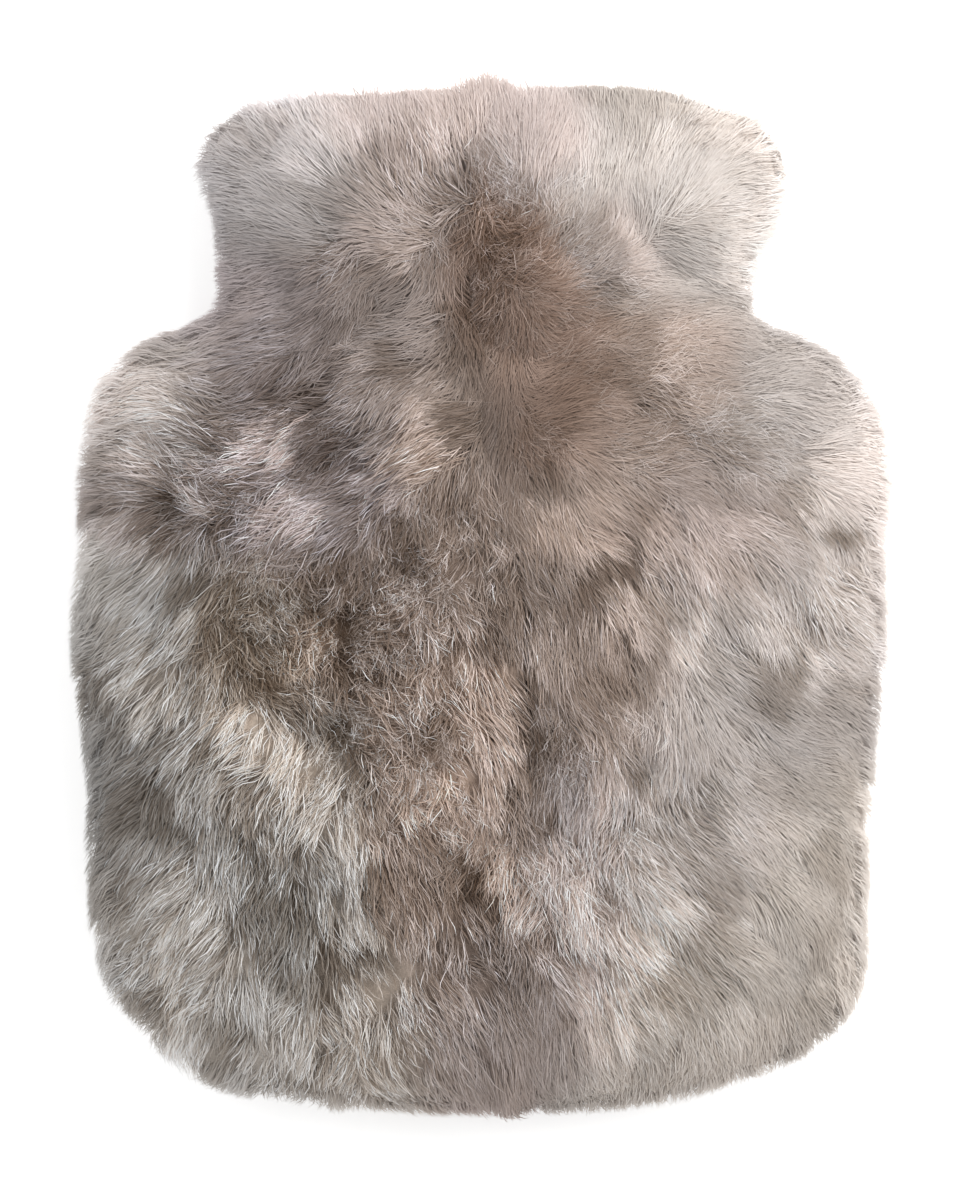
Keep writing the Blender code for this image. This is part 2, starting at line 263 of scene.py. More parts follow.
def overcast(name, line, pair, into):
    """A row of slanted stitches along a line between a pair of hides, proud of them in the hollow."""
    line = np.array([point[:] for point in line])
    run = np.concatenate(([0], np.cumsum(np.linalg.norm(np.diff(line, axis=0), axis=1))))
    at = np.arange(STITCH_PITCH, run[-1] - STITCH_PITCH, STITCH_PITCH)
    spots = np.stack([np.interp(at, run, line[:, k]) for k in range(3)], 1)
    thread = bpy.data.curves.new(name, "CURVE")
    thread.dimensions = "3D"
    thread.bevel_depth = THREAD_RADIUS
    thread.bevel_resolution = 1
    thread.use_fill_caps = True
    for spot, ahead in zip(spots[:-1], spots[1:]):
        along, inward = Vector(ahead - spot).normalized(), into(spot)
        across = along.cross(inward).normalized()
        ends = [skins[node].find_nearest(Vector(spot) + (inward + across * way) * STITCH_REACH
                                         + along * way * STITCH_SLANT)[0]
                for node, way in zip(pair(spot), (1, -1))]
        top = (ends[0] + ends[1]) / 2 + inward * STITCH_BULGE
        stitch = thread.splines.new("POLY")
        stitch.points.add(4)
        for k, point in enumerate((ends[0], ends[0].lerp(top, 0.5) + inward * STITCH_BULGE / 2, top,
                                   ends[1].lerp(top, 0.5) + inward * STITCH_BULGE / 2, ends[1])):
            stitch.points[k].co = (*point, 1)
    rope = bpy.data.objects.new(name, thread)
    bpy.context.scene.collection.objects.link(rope)
    mesh = bpy.data.meshes.new_from_object(rope.evaluated_get(bpy.context.evaluated_depsgraph_get()))
    mesh.name = name
    bpy.data.objects.remove(rope)
    mesh.shade_smooth()
    return placed(name, mesh, linen)


overcast("seam_side",
         sorted(rim_of("back_panel", lambda at: abs(at.z - SEAM_LEVEL) < ON_SEAM),
                key=lambda at: (math.atan2(at.y, at.x) - math.pi / 2) % (2 * math.pi)),
         lambda at: ("front_left" if at[0] < 0 else "front_right", "back_panel"),
         lambda at: Vector((-at[0], -at[1], 0)).normalized())
overcast("seam_centre",
         sorted(rim_of("front_left", lambda at: abs(at.x) < CENTRE_SEAM and at.y < CENTRE_END
                       and at.z > SEAM_LEVEL + CENTRE_CLEARANCE), key=lambda at: at.y),
         lambda at: ("front_left", "front_right"), lambda at: Vector((0, 0, -1)))

# ---------------------------------------------------------------------------------------------
# The undercoat: the short, dense and matted wool that covers each skin and fills up what is between
# the long hairs. It has the panel's form, a little lower than the tips, and stays off the hide.
# ---------------------------------------------------------------------------------------------
# How light the wool is where the light falls straight on it
SHADES = {
    "white": 0.823, "cream": 0.672, "silver": 0.612, "straw": 0.555, "sand": 0.508, "stone": 0.462,
    "grey": 0.418, "taupe": 0.372, "moss": 0.325, "umber": 0.283, "slate": 0.238, "brown": 0.198,
    "peat": 0.161,
}
# A patch's place in millimetres from the middle of the cover, its reach and its shade. The shades are
# partly the wool's own colour and partly painted light and shade: dark patches in the hollows and furrows
# paint their shade, and pale ones along the rim paint the light in its fuzz.
PATCHES = (
    # collar
    (-76, 148, 10, "straw"), (-62, 160, 10, "white"), (-72, 130, 9, "stone"), (-58, 142, 9, "taupe"),
    (-24, 172, 12, "cream"), (24, 174, 12, "cream"), (52, 174, 14, "sand"), (-32, 154, 7, "grey"),
    (-12, 144, 6, "grey"), (-30, 131, 6, "sand"), (-48, 126, 6, "sand"), (-60, 122, 7, "umber"),
    (-10, 128, 7, "umber"), (12, 138, 7, "grey"), (10, 122, 9, "peat"), (26, 140, 6, "silver"),
    (34, 156, 8, "white"), (60, 156, 9, "white"), (74, 150, 9, "cream"), (62, 118, 8, "cream"),
    (24, 118, 9, "grey"),
    # chest, left of the seam
    (-40, 104, 7, "umber"), (-26, 93, 6, "moss"), (-8, 87, 6, "peat"), (12, 108, 9, "slate"),
    (-80, 82, 7, "moss"), (-54, 84, 7, "slate"), (-42, 86, 5, "stone"), (-30, 76, 6, "peat"),
    (-72, 74, 7, "peat"), (-62, 66, 5, "peat"), (-86, 70, 6, "umber"), (-18, 76, 6, "moss"),
    (-36, 64, 7, "taupe"), (-22, 54, 7, "sand"), (-46, 60, 6, "slate"), (-6, 60, 5, "peat"),
    (-8, 48, 5, "umber"), (-78, 56, 6, "cream"), (-66, 58, 5, "white"), (-56, 50, 5, "brown"),
    (-64, 45, 4, "peat"), (-72, 44, 6, "taupe"), (-66, 34, 6, "silver"), (-52, 38, 5, "slate"),
    (-47, 33, 4, "peat"), (-38, 42, 7, "stone"), (-50, 26, 5, "taupe"),
    # chest, right of the seam
    (20, 84, 9, "umber"), (36, 92, 8, "moss"), (52, 96, 8, "moss"), (66, 96, 8, "sand"),
    (100, 88, 8, "stone"), (138, 36, 9, "white"), (30, 74, 8, "peat"), (82, 84, 8, "stone"),
    (12, 66, 7, "brown"), (44, 60, 8, "moss"), (112, 64, 6, "straw"), (118, 56, 6, "cream"),
    (22, 46, 5, "slate"), (8, 46, 6, "umber"), (40, 44, 7, "taupe"), (80, 46, 6, "taupe"),
    (98, 46, 6, "sand"), (106, 36, 7, "taupe"), (120, 36, 5, "white"), (126, 28, 4, "peat"),
    (134, 16, 8, "cream"), (36, 30, 7, "straw"), (52, 26, 5, "moss"), (20, 30, 6, "straw"),
    (48, 14, 5, "umber"), (64, 16, 7, "straw"), (98, 20, 6, "straw"), (26, 12, 7, "moss"),
    (38, 6, 6, "peat"), (136, -6, 9, "silver"),
    # the whorl on the left shoulder and the wool below it
    (-104, 74, 7, "stone"), (-112, 66, 7, "white"), (-102, 62, 5, "taupe"), (-122, 50, 7, "cream"),
    (-136, 50, 8, "umber"), (-102, 42, 6, "straw"), (-92, 50, 5, "umber"), (-112, 40, 5, "slate"),
    (-112, 29, 7, "peat"), (-126, 36, 6, "grey"), (-136, 34, 6, "slate"), (-88, 28, 6, "moss"),
    (-100, 20, 6, "moss"), (-90, 16, 6, "silver"), (-126, 22, 6, "sand"), (-104, 5, 6, "peat"),
    (-92, 6, 5, "peat"), (-120, 6, 8, "sand"),
    # middle of the left side
    (-78, 14, 6, "stone"), (-72, 4, 7, "umber"), (-58, 14, 6, "moss"), (-60, 0, 6, "peat"),
    (-46, 16, 5, "peat"), (-38, 20, 5, "stone"), (-30, 26, 5, "peat"), (-26, 12, 6, "peat"),
    (-46, 4, 6, "slate"), (-20, 30, 6, "umber"), (-14, 18, 6, "taupe"), (-6, 6, 7, "moss"),
    (6, 4, 6, "umber"), (14, 0, 4, "peat"), (-30, -2, 6, "taupe"), (-88, -8, 7, "brown"),
    (-62, -18, 6, "silver"), (-48, -12, 6, "peat"), (-46, -24, 5, "peat"), (-34, -14, 6, "moss"),
    (-4, -14, 6, "grey"), (8, -14, 5, "slate"), (-102, -10, 6, "sand"), (-124, -12, 9, "sand"),
    (-110, -28, 9, "cream"), (-92, -28, 6, "moss"), (-78, -28, 6, "slate"), (-64, -38, 6, "moss"),
    (-54, -44, 5, "peat"), (-40, -40, 7, "cream"), (-36, -27, 5, "peat"), (-22, -30, 6, "sand"),
    (-12, -42, 6, "slate"), (-20, -54, 5, "brown"), (2, -34, 6, "straw"), (8, -48, 5, "straw"),
    (-2, -52, 6, "sand"), (-86, -42, 7, "white"), (-74, -54, 8, "white"), (-56, -58, 6, "silver"),
    (-44, -54, 5, "taupe"), (-34, -66, 6, "grey"), (-20, -68, 6, "white"), (-4, -68, 6, "sand"),
    # bottom, left
    (-106, -52, 7, "taupe"), (-126, -50, 8, "taupe"), (-118, -70, 8, "brown"), (-98, -66, 6, "straw"),
    (-84, -70, 6, "taupe"), (-68, -72, 7, "cream"), (-42, -88, 5, "cream"), (-72, -86, 7, "taupe"),
    (-30, -84, 5, "grey"), (-16, -88, 7, "moss"), (-28, -98, 6, "slate"), (0, -84, 6, "cream"),
    (-108, -88, 7, "stone"), (-130, -98, 8, "taupe"), (-112, -104, 8, "straw"), (-64, -104, 6, "slate"),
    (-50, -104, 7, "straw"), (-74, -120, 7, "moss"), (-36, -112, 6, "cream"), (-20, -112, 7, "grey"),
    (-6, -102, 7, "peat"), (-4, -116, 5, "moss"), (-126, -122, 8, "silver"), (-112, -124, 7, "white"),
    (-96, -126, 7, "silver"), (-44, -120, 5, "peat"), (-30, -128, 6, "cream"), (-14, -130, 7, "taupe"),
    (-54, -138, 6, "moss"), (-36, -140, 6, "cream"), (-104, -146, 7, "white"), (-90, -148, 7, "grey"),
    (-80, -138, 7, "straw"), (-68, -152, 8, "cream"), (-46, -156, 8, "cream"), (-24, -150, 8, "stone"),
    (-8, -152, 8, "stone"), (-62, -170, 8, "silver"), (-34, -172, 8, "cream"),
    # beside the seam and middle of the right side
    (16, -28, 4, "sand"), (17, -44, 4, "peat"), (19, -60, 5, "slate"), (18, -76, 6, "umber"),
    (30, -14, 7, "taupe"), (44, -6, 7, "straw"), (44, -26, 8, "umber"), (60, -10, 7, "taupe"),
    (30, -36, 7, "taupe"), (44, -48, 7, "stone"), (60, -34, 7, "silver"), (72, -10, 7, "white"),
    (86, -4, 6, "sand"), (96, -6, 7, "cream"), (84, -22, 7, "sand"), (98, -26, 6, "umber"),
    (118, -22, 5, "white"), (122, -36, 7, "grey"), (52, -55, 4, "peat"), (62, -58, 6, "white"),
    (76, -54, 7, "straw"), (36, -62, 6, "grey"), (108, -62, 8, "stone"), (47, -72, 4, "peat"),
    (30, -72, 6, "straw"), (40, -66, 5, "white"), (68, -76, 7, "stone"), (106, -80, 8, "cream"),
    # bottom, right
    (26, -92, 6, "cream"), (52, -90, 6, "cream"), (122, -90, 7, "taupe"), (134, -88, 8, "cream"),
    (12, -96, 5, "cream"), (12, -110, 5, "cream"), (30, -106, 5, "white"), (44, -104, 5, "grey"),
    (60, -110, 7, "white"), (76, -114, 8, "grey"), (94, -116, 8, "silver"), (112, -104, 6, "silver"),
    (118, -114, 7, "grey"), (8, -122, 5, "moss"), (24, -122, 6, "grey"), (34, -120, 5, "white"),
    (48, -126, 7, "white"), (66, -130, 8, "stone"), (100, -130, 7, "sand"), (10, -138, 6, "umber"),
    (26, -140, 7, "taupe"), (42, -142, 7, "white"), (60, -148, 8, "silver"), (96, -148, 8, "cream"),
    (12, -158, 7, "taupe"), (28, -160, 7, "stone"), (44, -164, 7, "cream"),
    # along the rim, where the paler patches paint the light in the rim's fuzz
    (84, 172, 9, "white"), (103, 128, 9, "white"), (-139, 58, 8, "white"), (-141, 42, 7, "straw"),
    (-141, 24, 7, "cream"), (-141, -28, 7, "umber"), (-140, -64, 7, "moss"), (-132, -130, 7, "grey"),
    (-122, -146, 8, "stone"), (-72, -175, 8, "silver"), (-50, -177, 8, "silver"),
    (-28, -178, 8, "sand"), (38, -177, 8, "sand"), (118, -152, 8, "stone"), (130, -136, 8, "cream"),
    (137, -116, 8, "silver"),
    # painted shade along the dark line from the whorl to the seam, where tufts overlap, and in the seam's
    # furrow
    (-97, 24, 6, "slate"), (-88, 12, 6, "peat"), (-77, -3, 6, "moss"), (-66, -15, 6, "umber"),
    (-55, -27, 6, "taupe"), (-43, -37, 6, "umber"), (-30, -44, 6, "grey"), (15, 0, 4, "umber"),
    (16, -16, 4, "moss"), (17, -32, 4, "umber"), (17, -46, 4, "peat"), (5, 55, 4, "brown"),
    (13, 30, 4, "umber"),
)
PATCH_RIM, PATCH_ROUND = 0.6, 2  # how far a patch's own shade reaches, and the mean of those round it
PATCH_STRAY = ((3 * MM, 15 * MM), (1.2 * MM, 6 * MM))  # how far its rim strays, and over what length
PATCH_SEEDS = (61, 63)

# The wool's tints, as shares of its shade, and where each lies: a place, its reach and its tint
TINTS = {
    "ash": (1.065, 0.998, 0.937), "silk": (1.074, 0.99, 0.936), "rose": (1.062, 0.98, 0.958),
    "lilac": (1.112, 0.954, 0.934), "pearl": (1.088, 0.984, 0.928), "oat": (1.102, 0.994, 0.904),
    "dove": (1.12, 0.966, 0.914), "fawn": (1.152, 0.964, 0.884), "tan": (1.208, 0.962, 0.83),
    "cocoa": (1.247, 0.96, 0.793), "chestnut": (1.32, 0.934, 0.746), "olive": (1.206, 0.988, 0.806),
}
TINTED = (
    (-70, 145, 18, "rose"), (-75, 172, 16, "rose"), (-30, 172, 16, "dove"), (-20, 150, 13, "fawn"),
    (17, 160, 13, "dove"), (65, 142, 24, "silk"), (46, 121, 10, "fawn"), (7, 115, 13, "chestnut"),
    (-32, 120, 13, "fawn"), (-75, 95, 18, "lilac"), (-72, 65, 18, "lilac"), (-40, 82, 15, "fawn"),
    (-67, 35, 15, "lilac"), (-7, 65, 13, "tan"), (25, 75, 17, "chestnut"), (60, 75, 17, "tan"),
    (110, 65, 22, "pearl"), (40, 27, 17, "tan"), (80, 27, 17, "fawn"), (-112, 67, 17, "pearl"),
    (-110, 35, 14, "dove"), (-120, -7, 18, "ash"), (-77, -10, 15, "olive"), (-50, -10, 13, "cocoa"),
    (-17, -10, 17, "tan"), (-12, -57, 17, "tan"), (40, -20, 17, "tan"), (80, -22, 20, "pearl"),
    (117, -5, 22, "pearl"), (-115, -60, 20, "ash"), (-112, -102, 20, "ash"), (-67, -62, 17, "oat"),
    (-70, -97, 17, "ash"), (-85, -140, 20, "ash"), (-40, -142, 15, "oat"), (-10, -95, 15, "tan"),
    (-5, -137, 15, "fawn"), (30, -80, 14, "dove"), (30, -127, 16, "dove"), (75, -85, 20, "pearl"),
    (75, -140, 22, "oat"), (115, -105, 22, "oat"),
)
TINT_RIM = 0.8  # how much of its reach a tint fills
FAR_REACH, FAR_SHARE = 4, 1e-6  # a patch's faint reach where no other is near
CONTRAST_SLEEK, CONTRAST_CRISP = 0.72, 0.36  # how much a patch keeps of how it differs from its round
WARMING = np.array((0.86, 1.0, 1.15))  # the darker a hair, its root or a patch is, the browner it is; where that darkness is painted shade, this warmth is painted with it

# Where the wool swells or sinks: a place, its reach and the height in millimetres
RELIEF = (
    (14, -4, 4, -0.3), (15, -22, 4, -0.8), (17, -42, 4, -1.2), (16, -56, 4, -1.0), (3, 54, 4, -1.5),
    (-112, 30, 7, -4.0), (-104, 5, 6, -3.0), (-56, 48, 6, -3.5), (-47, 33, 5, -3.0),
    (-50, -14, 8, -3.5), (-45, -26, 6, -2.5), (-64, -40, 8, -3.0), (-78, -30, 6, -2.5),
    (-28, 14, 6, -2.5), (-26, 4, 5, -2.0), (-62, 66, 5, -2.5), (-74, 73, 7, -2.5), (-70, 110, 6, -2.5),
    (-8, 108, 8, -3.0), (4, 96, 9, -2.5), (-8, 87, 6, -2.0), (12, 124, 10, -2.5), (22, 47, 4, -2.0),
    (27, 57, 4, -2.0), (38, 8, 7, -2.5), (50, 22, 6, -2.0), (52, -56, 5, -3.0), (46, -73, 5, -2.5),
    (43, -102, 4, -2.0), (111, -28, 4, -2.5), (20, -66, 6, -2.0), (-4, -104, 8, -2.5),
    (8, -128, 6, -2.0), (-70, -116, 9, -1.5), (-118, -70, 10, -2.0), (-94, -84, 8, -2.0),
    (-106, 86, 7, -2.0), (-132, 32, 6, -2.0), (-128, 57, 5, -1.5), (126, 28, 5, -2.5),
    (126, 6, 5, -2.5), (126, -14, 5, -2.5), (-46, 112, 6, -1.5), (-14, 140, 6, -1.5),
    (-28, -98, 6, -1.5), (-54, -138, 6, -1.5), (-90, -150, 7, -1.0), (104, -114, 5, -1.5),
    (88, -134, 7, -1.0), (82, -6, 5, -1.5), (0, 58, 6, -2.0), (-30, 131, 7, 2.5), (-72, 100, 6, 1.5),
    (-24, 92, 8, 1.5), (-105, 66, 13, 3.0), (-98, 40, 6, 2.0), (-76, 54, 9, 2.5), (-68, 32, 7, 2.5),
    (-24, 54, 10, 2.5), (-38, 40, 7, 1.5), (-74, -54, 13, 3.0), (-42, -86, 6, 2.0), (-60, -78, 8, 1.5),
    (-104, -110, 12, 2.0), (38, 34, 9, 2.5), (6, -24, 5, 2.0), (9, -44, 5, 2.5), (-20, -64, 8, 1.5),
    (12, -110, 4, 2.0), (30, -100, 5, 2.0), (62, -60, 6, 2.5), (40, -66, 5, 2.0), (118, 14, 5, 2.5),
    (117, -8, 5, 3.0), (96, -4, 8, 2.0), (82, -54, 10, 2.0), (112, -102, 6, 1.5), (46, 150, 9, 2.0),
    (64, 148, 9, 2.0), (100, 60, 8, 1.5), (-8, 154, 6, 2.0), (-30, -4, 7, 1.5), (-22, -30, 7, 1.5),
    (60, 66, 10, 1.5), (-100, -14, 8, 1.5), (120, 44, 5, 2.0), (26, -120, 5, 1.5), (66, -150, 10, 1.5),
    (-30, -160, 10, 1.5),
)
RELIEF_SHARE, RELIEF_RIM = 0.9, 0.7  # how much of the height there is, and over how much of the reach
SWELLS = ((0.8 * MM, 34 * MM, 13), (0.45 * MM, 13 * MM, 14))  # a chance swell's height, length and seed
SWELL_SLEEK, SWELL_CRISP = 0.4, 0.6  # how much of it sleek wool has, and crisp wool more

# The centre seam from the mouth to the bottom: how far up, how far right, and how much the wool of
# its two sides fills the furrow over it there, all in millimetres
SEAM = (
    (190, 1, 7), (120, 0, 6.5), (100, -2, 5), (70, -2, 3), (56, 0, 1), (28, 8, 3), (14, 13, 4.5),
    (0, 15, 3.5), (-20, 16, 3), (-45, 16, 2.5), (-62, 13, 3.5), (-90, 11, 5.5), (-130, 9, 5.5),
    (-180, 9, 6),
)
SEAM_REACH = 6.5 * MM

# Where the wool is frizzy instead of sleek: a place, its reach and how much
FRIZZ = (
    (-60, -4, 18, 1.0), (-30, -16, 18, 0.9), (-80, -14, 12, 0.9), (-88, 30, 9, 0.5), (-24, 16, 14, 0.7),
    (-4, 20, 14, 0.5), (-40, -48, 14, 0.8), (-16, -66, 14, 0.8), (-10, -92, 10, 0.5), (4, 140, 12, 0.6),
    (8, 122, 14, 0.6), (2, 100, 12, 0.5), (-20, 124, 9, 0.4), (-50, 118, 9, 0.4), (-40, 90, 12, 0.3),
    (34, 118, 12, 0.3), (36, 92, 14, 0.3), (58, 72, 14, 0.3), (80, 62, 12, 0.25), (96, 50, 12, 0.25),
    (20, 54, 9, 0.4), (60, 52, 10, 0.3), (30, -52, 10, 0.4), (40, -90, 12, 0.3), (14, -84, 10, 0.4),
    (66, 92, 9, 0.2), (-54, 52, 8, 0.3), (50, -40, 9, 0.3), (-98, 40, 12, 0.35), (-84, 22, 13, 0.55),
)

# Where single hairs stand out crisply from the dark between them: a place, its reach and how much
CRISP = (
    (-66, -20, 34, 1.0), (-20, -30, 34, 0.9), (-92, -96, 40, 0.8), (-60, -60, 24, 0.6),
    (-20, -120, 36, 0.8), (32, -100, 28, 0.9), (30, -56, 18, 0.5), (-62, 62, 30, 0.7),
    (-102, 42, 24, 0.9), (-20, 40, 26, 0.6), (6, 120, 18, 0.5), (-20, 146, 18, 0.5),
    (-112, -30, 24, 0.6), (28, 0, 28, 0.5), (76, 10, 30, 0.3), (120, 0, 18, 0.5), (70, -70, 24, 0.3),
    (60, -134, 30, 0.4), (-120, -140, 24, 0.6), (-50, -160, 30, 0.6),
)
KIND_RIM = 0.8  # how much of its reach each kind of wool fills

# Where the wool of the rim stands out farther: a place, its reach and how far in millimetres
FLARE = (
    (-95, 168, 13, 15), (98, 167, 14, 18), (-79, 177, 10, 5), (80, 177, 10, 5), (-108, -164, 18, 6),
    (104, -164, 16, 5), (-140, -10, 40, 3), (-124, 84, 18, 6), (126, 82, 20, 6), (-142, -100, 24, 4),
    (-140, 40, 20, 2), (142, 46, 18, 3), (-94, -172, 12, 4), (140, 20, 40, 1), (-60, 178, 18, 3),
    (64, 178, 18, 5), (-126, -138, 14, 2), (128, -140, 16, 4), (-60, -176, 22, 5), (-20, -178, 22, 3),
    (20, -178, 22, 2.5), (60, -176, 22, 5), (30, 180, 14, 3),
)

SLEEK_DEPTH, CRISP_DEPTH, RIM_DEPTH = 2.2 * MM, 5.5 * MM, 1 * MM  # how far it lies below the form
RIM_LEVEL = 25 * MM  # the height from the side seam at which the rim's depth ends
HIDE_ROOM = 1.4 * MM  # how far it stays off the hollow, for the hide
UNDERCOAT_SWELL, UNDERCOAT_FLARE = 1.6 * MM, 0.85  # how far it stands out at the rim
UNDERCOAT_TONE, UNDERCOAT_CRISP_SHADE = 0.95, 0.35  # its shade, and how much painted shade darkens it under crisp wool, for the shade between the crisp hairs
LEAST_HEIGHT = 1.5 * MM  # over the table
RIM_STEEPNESS, TOP_STEEPNESS = 1.2, 2  # how soon a sloping surface counts as the rim or the front
WAVES, WAVE_LENGTH, WAVE_HEIGHT = 8, (0.7, 1.6), 0.7  # what chance changes over the wool are made of


def scatter_noise(points, length, seed):
    """A smooth random value for each point, about -1 to 1, that changes over this length."""
    chance = np.random.default_rng(seed)
    value = np.zeros(len(points))
    for _ in range(WAVES):
        way = chance.normal(size=3)
        way *= 2 * np.pi / (length * chance.uniform(*WAVE_LENGTH) * np.linalg.norm(way))
        value += np.sin(points @ way + chance.uniform(0, 2 * np.pi))
    return value * math.sqrt(2 / WAVES) * WAVE_HEIGHT


def nearness(points, places, reach):
    """How much each point feels each place, with a soft fall-off over its reach."""
    away = (points[:, None, 0] - places[None, :, 0] * MM) ** 2
    away += (points[:, None, 1] - places[None, :, 1] * MM) ** 2
    return np.exp(-away / (2 * reach**2))


def summed(points, table, share):
    """The sum at each point of a table's amounts, which fade over this share of their reach."""
    places = np.array(table, float)
    return nearness(points, places, share * places[None, :, 2] * MM) @ places[:, 3]


def blended(points, table, values, share):
    """The mix at each point of a table's named values, by how near each one's place is."""
    places = np.array([entry[:3] for entry in table], float)
    weight = nearness(points, places, share * places[None, :, 2] * MM)
    weight += FAR_SHARE * nearness(points, places, FAR_REACH * places[None, :, 2] * MM)
    return (weight / weight.sum(1, keepdims=True)) @ np.array([values[entry[3]] for entry in table])


def crisped(points):
    """How crisp the wool is at each point, from 0 to 1."""
    return np.clip(summed(points, CRISP, KIND_RIM), 0, 1)


def frizzed(points):
    """How frizzy the wool is at each point, from 0 to 1."""
    return np.clip(summed(points, FRIZZ, KIND_RIM), 0, 1)


def flared(points):
    """How much farther than elsewhere the rim's wool stands out at each point."""
    return summed(points, FLARE, 1) * MM


def shaded(points):
    """The wool's colour at each point: its patch's shade, with an uneven rim, and the tint there."""
    moved = points[:, :2] + np.stack([sum(far * scatter_noise(points, length, seed + k)
                                          for k, (far, length) in enumerate(PATCH_STRAY))
                                      for seed in PATCH_SEEDS], 1)
    around = blended(moved, PATCHES, SHADES, PATCH_ROUND)
    contrast = blended(moved, PATCHES, SHADES, PATCH_RIM) / around
    contrast **= CONTRAST_SLEEK + CONTRAST_CRISP * np.maximum(crisped(points), frizzed(points))
    lighter = (around * np.maximum(contrast, 1))[:, None]
    return blended(points, TINTED, TINTS, TINT_RIM) * lighter * np.minimum(contrast, 1)[:, None] ** WARMING


def closed(points):
    """How much the wool fills the furrow over the centre seam at each point."""
    line = np.array(SEAM, float)[::-1] * MM
    away = points[:, 0] - np.interp(points[:, 1], line[:, 0], line[:, 1])
    return np.interp(points[:, 1], line[:, 0], line[:, 2]) * np.exp(-away**2 / (2 * SEAM_REACH**2))


def raised(points):
    """How much higher than the plain form the wool stands at each point."""
    swell = sum(height * scatter_noise(points, length, seed) for height, length, seed in SWELLS)
    return (RELIEF_SHARE * summed(points, RELIEF, RELIEF_RIM) * MM + closed(points)
            + (SWELL_SLEEK + SWELL_CRISP * crisped(points)) * swell)


def at_rim(up):
    """How much of the rim each point is: 0 on the front and back, and 1 where the surface is a wall."""
    return np.clip(RIM_STEEPNESS * (1 - np.abs(up[:, 2])), 0, 1)


def on_top(up):
    """How much of the front each point is: 0 on the back, and 1 where the surface looks up."""
    return np.clip(TOP_STEEPNESS * up[:, 2], 0, 1)


mottle = bpy.data.node_groups.new("wool_mottle", "ShaderNodeTree")  # a wool's colour, uneven by a pattern
mottle.interface.new_socket("Colour", in_out="INPUT", socket_type="NodeSocketColor")
for name in ("Pattern", "Darkest", "Lightest"):
    mottle.interface.new_socket(name, in_out="INPUT", socket_type="NodeSocketFloat")
mottle.interface.new_socket("Mottled", in_out="OUTPUT", socket_type="NodeSocketColor")
make, join = maker(mottle)
given = make("NodeGroupInput").outputs
light = make("ShaderNodeMapRange", Value=given["Pattern"], From_Min=0.3, From_Max=0.7,
             To_Min=given["Darkest"], To_Max=given["Lightest"])
lit = make("ShaderNodeVectorMath", {"operation": "SCALE"}, _0=given["Colour"],
           Scale=light.outputs["Result"])
make("NodeGroupOutput", Mottled=lit.outputs["Vector"])

under_wool, make, join = finish("under_wool")
place = make("ShaderNodeTexCoord").outputs["Object"]
curls = make("ShaderNodeTexNoise", Vector=place, Scale=420.0, Detail=4.0, Roughness=0.65, Distortion=1.5)
read = make("ShaderNodeAttribute", {"attribute_name": "wool_colour"})
mottled = make("ShaderNodeGroup", {"node_tree": mottle}, Colour=read.outputs["Color"],
               Pattern=curls.outputs["Fac"], Darkest=0.8, Lightest=1.15)
relief = make("ShaderNodeBump", Strength=0.5, Distance=0.001, Height=curls.outputs["Fac"])
join(under_wool.node_tree.nodes["Principled BSDF"], {
    "Base_Color": mottled.outputs["Mottled"], "Normal": relief.outputs["Normal"], "Roughness": 0.9,
    "Specular_IOR_Level": 0.1})

for name, node, slot in (("undercoat_front_left", "front_left", "front_wool"),
                         ("undercoat_front_right", "front_right", "front_wool"),
                         ("undercoat_back", "back_panel", "back_wool")):
    shape, sides = panel_sides(node)
    outside, inside = ({vert for face in side for vert in face.verts} for side in sides[:2])
    wool = shape.verts.layers.int.new("wool")
    skin = shape.verts.layers.int.new("skin")
    for vert in shape.verts:
        vert[wool], vert[skin] = vert in outside, vert in inside
    edges = {edge for face in sides[WOOL_SIDE] for edge in face.edges}
    bmesh.ops.subdivide_edges(shape, edges=list(edges), cuts=1, use_grid_fill=True)
    bmesh.ops.triangulate(shape, faces=shape.faces[:])
    shape.normal_update()
    places = np.array([vert.co[:] for vert in shape.verts])
    up = np.array([vert.normal[:] for vert in shape.verts])
    coat = np.array([vert[wool] or not vert[skin] for vert in shape.verts])
    crisp = np.maximum(crisped(places), frizzed(places))
    level = np.clip(np.abs(places[:, 2] - SEAM_LEVEL) / RIM_LEVEL, 0, 1)
    rise = (UNDERCOAT_SWELL + UNDERCOAT_FLARE * flared(places)) * at_rim(up)
    rise += raised(places) * on_top(up)
    rise -= RIM_DEPTH + (SLEEK_DEPTH + (CRISP_DEPTH - SLEEK_DEPTH) * crisp - RIM_DEPTH) * level
    rise = np.where(coat, rise, -HIDE_ROOM)
    colours = np.ones((len(places), 4))
    # Under crisp wool the undercoat is painted darker, standing in for the shade between the crisp hairs.
    colours[:, :3] = shaded(places) * (UNDERCOAT_TONE - UNDERCOAT_CRISP_SHADE * crisp[:, None]) ** WARMING
    for vert, place in zip(shape.verts, places + up * rise[:, None]):
        vert.co = Vector(place)
        vert.co.z = max(vert.co.z, LEAST_HEIGHT)
    mesh = bpy.data.meshes.new(name)
    shape.normal_update()
    shape.to_mesh(mesh)
    shape.free()
    mesh.shade_smooth()
    mesh.color_attributes.new("wool_colour", "FLOAT_COLOR", "POINT").data.foreach_set(
        "color", colours.reshape(-1).astype(np.float32))
    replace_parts(placed(name, mesh, under_wool), node)

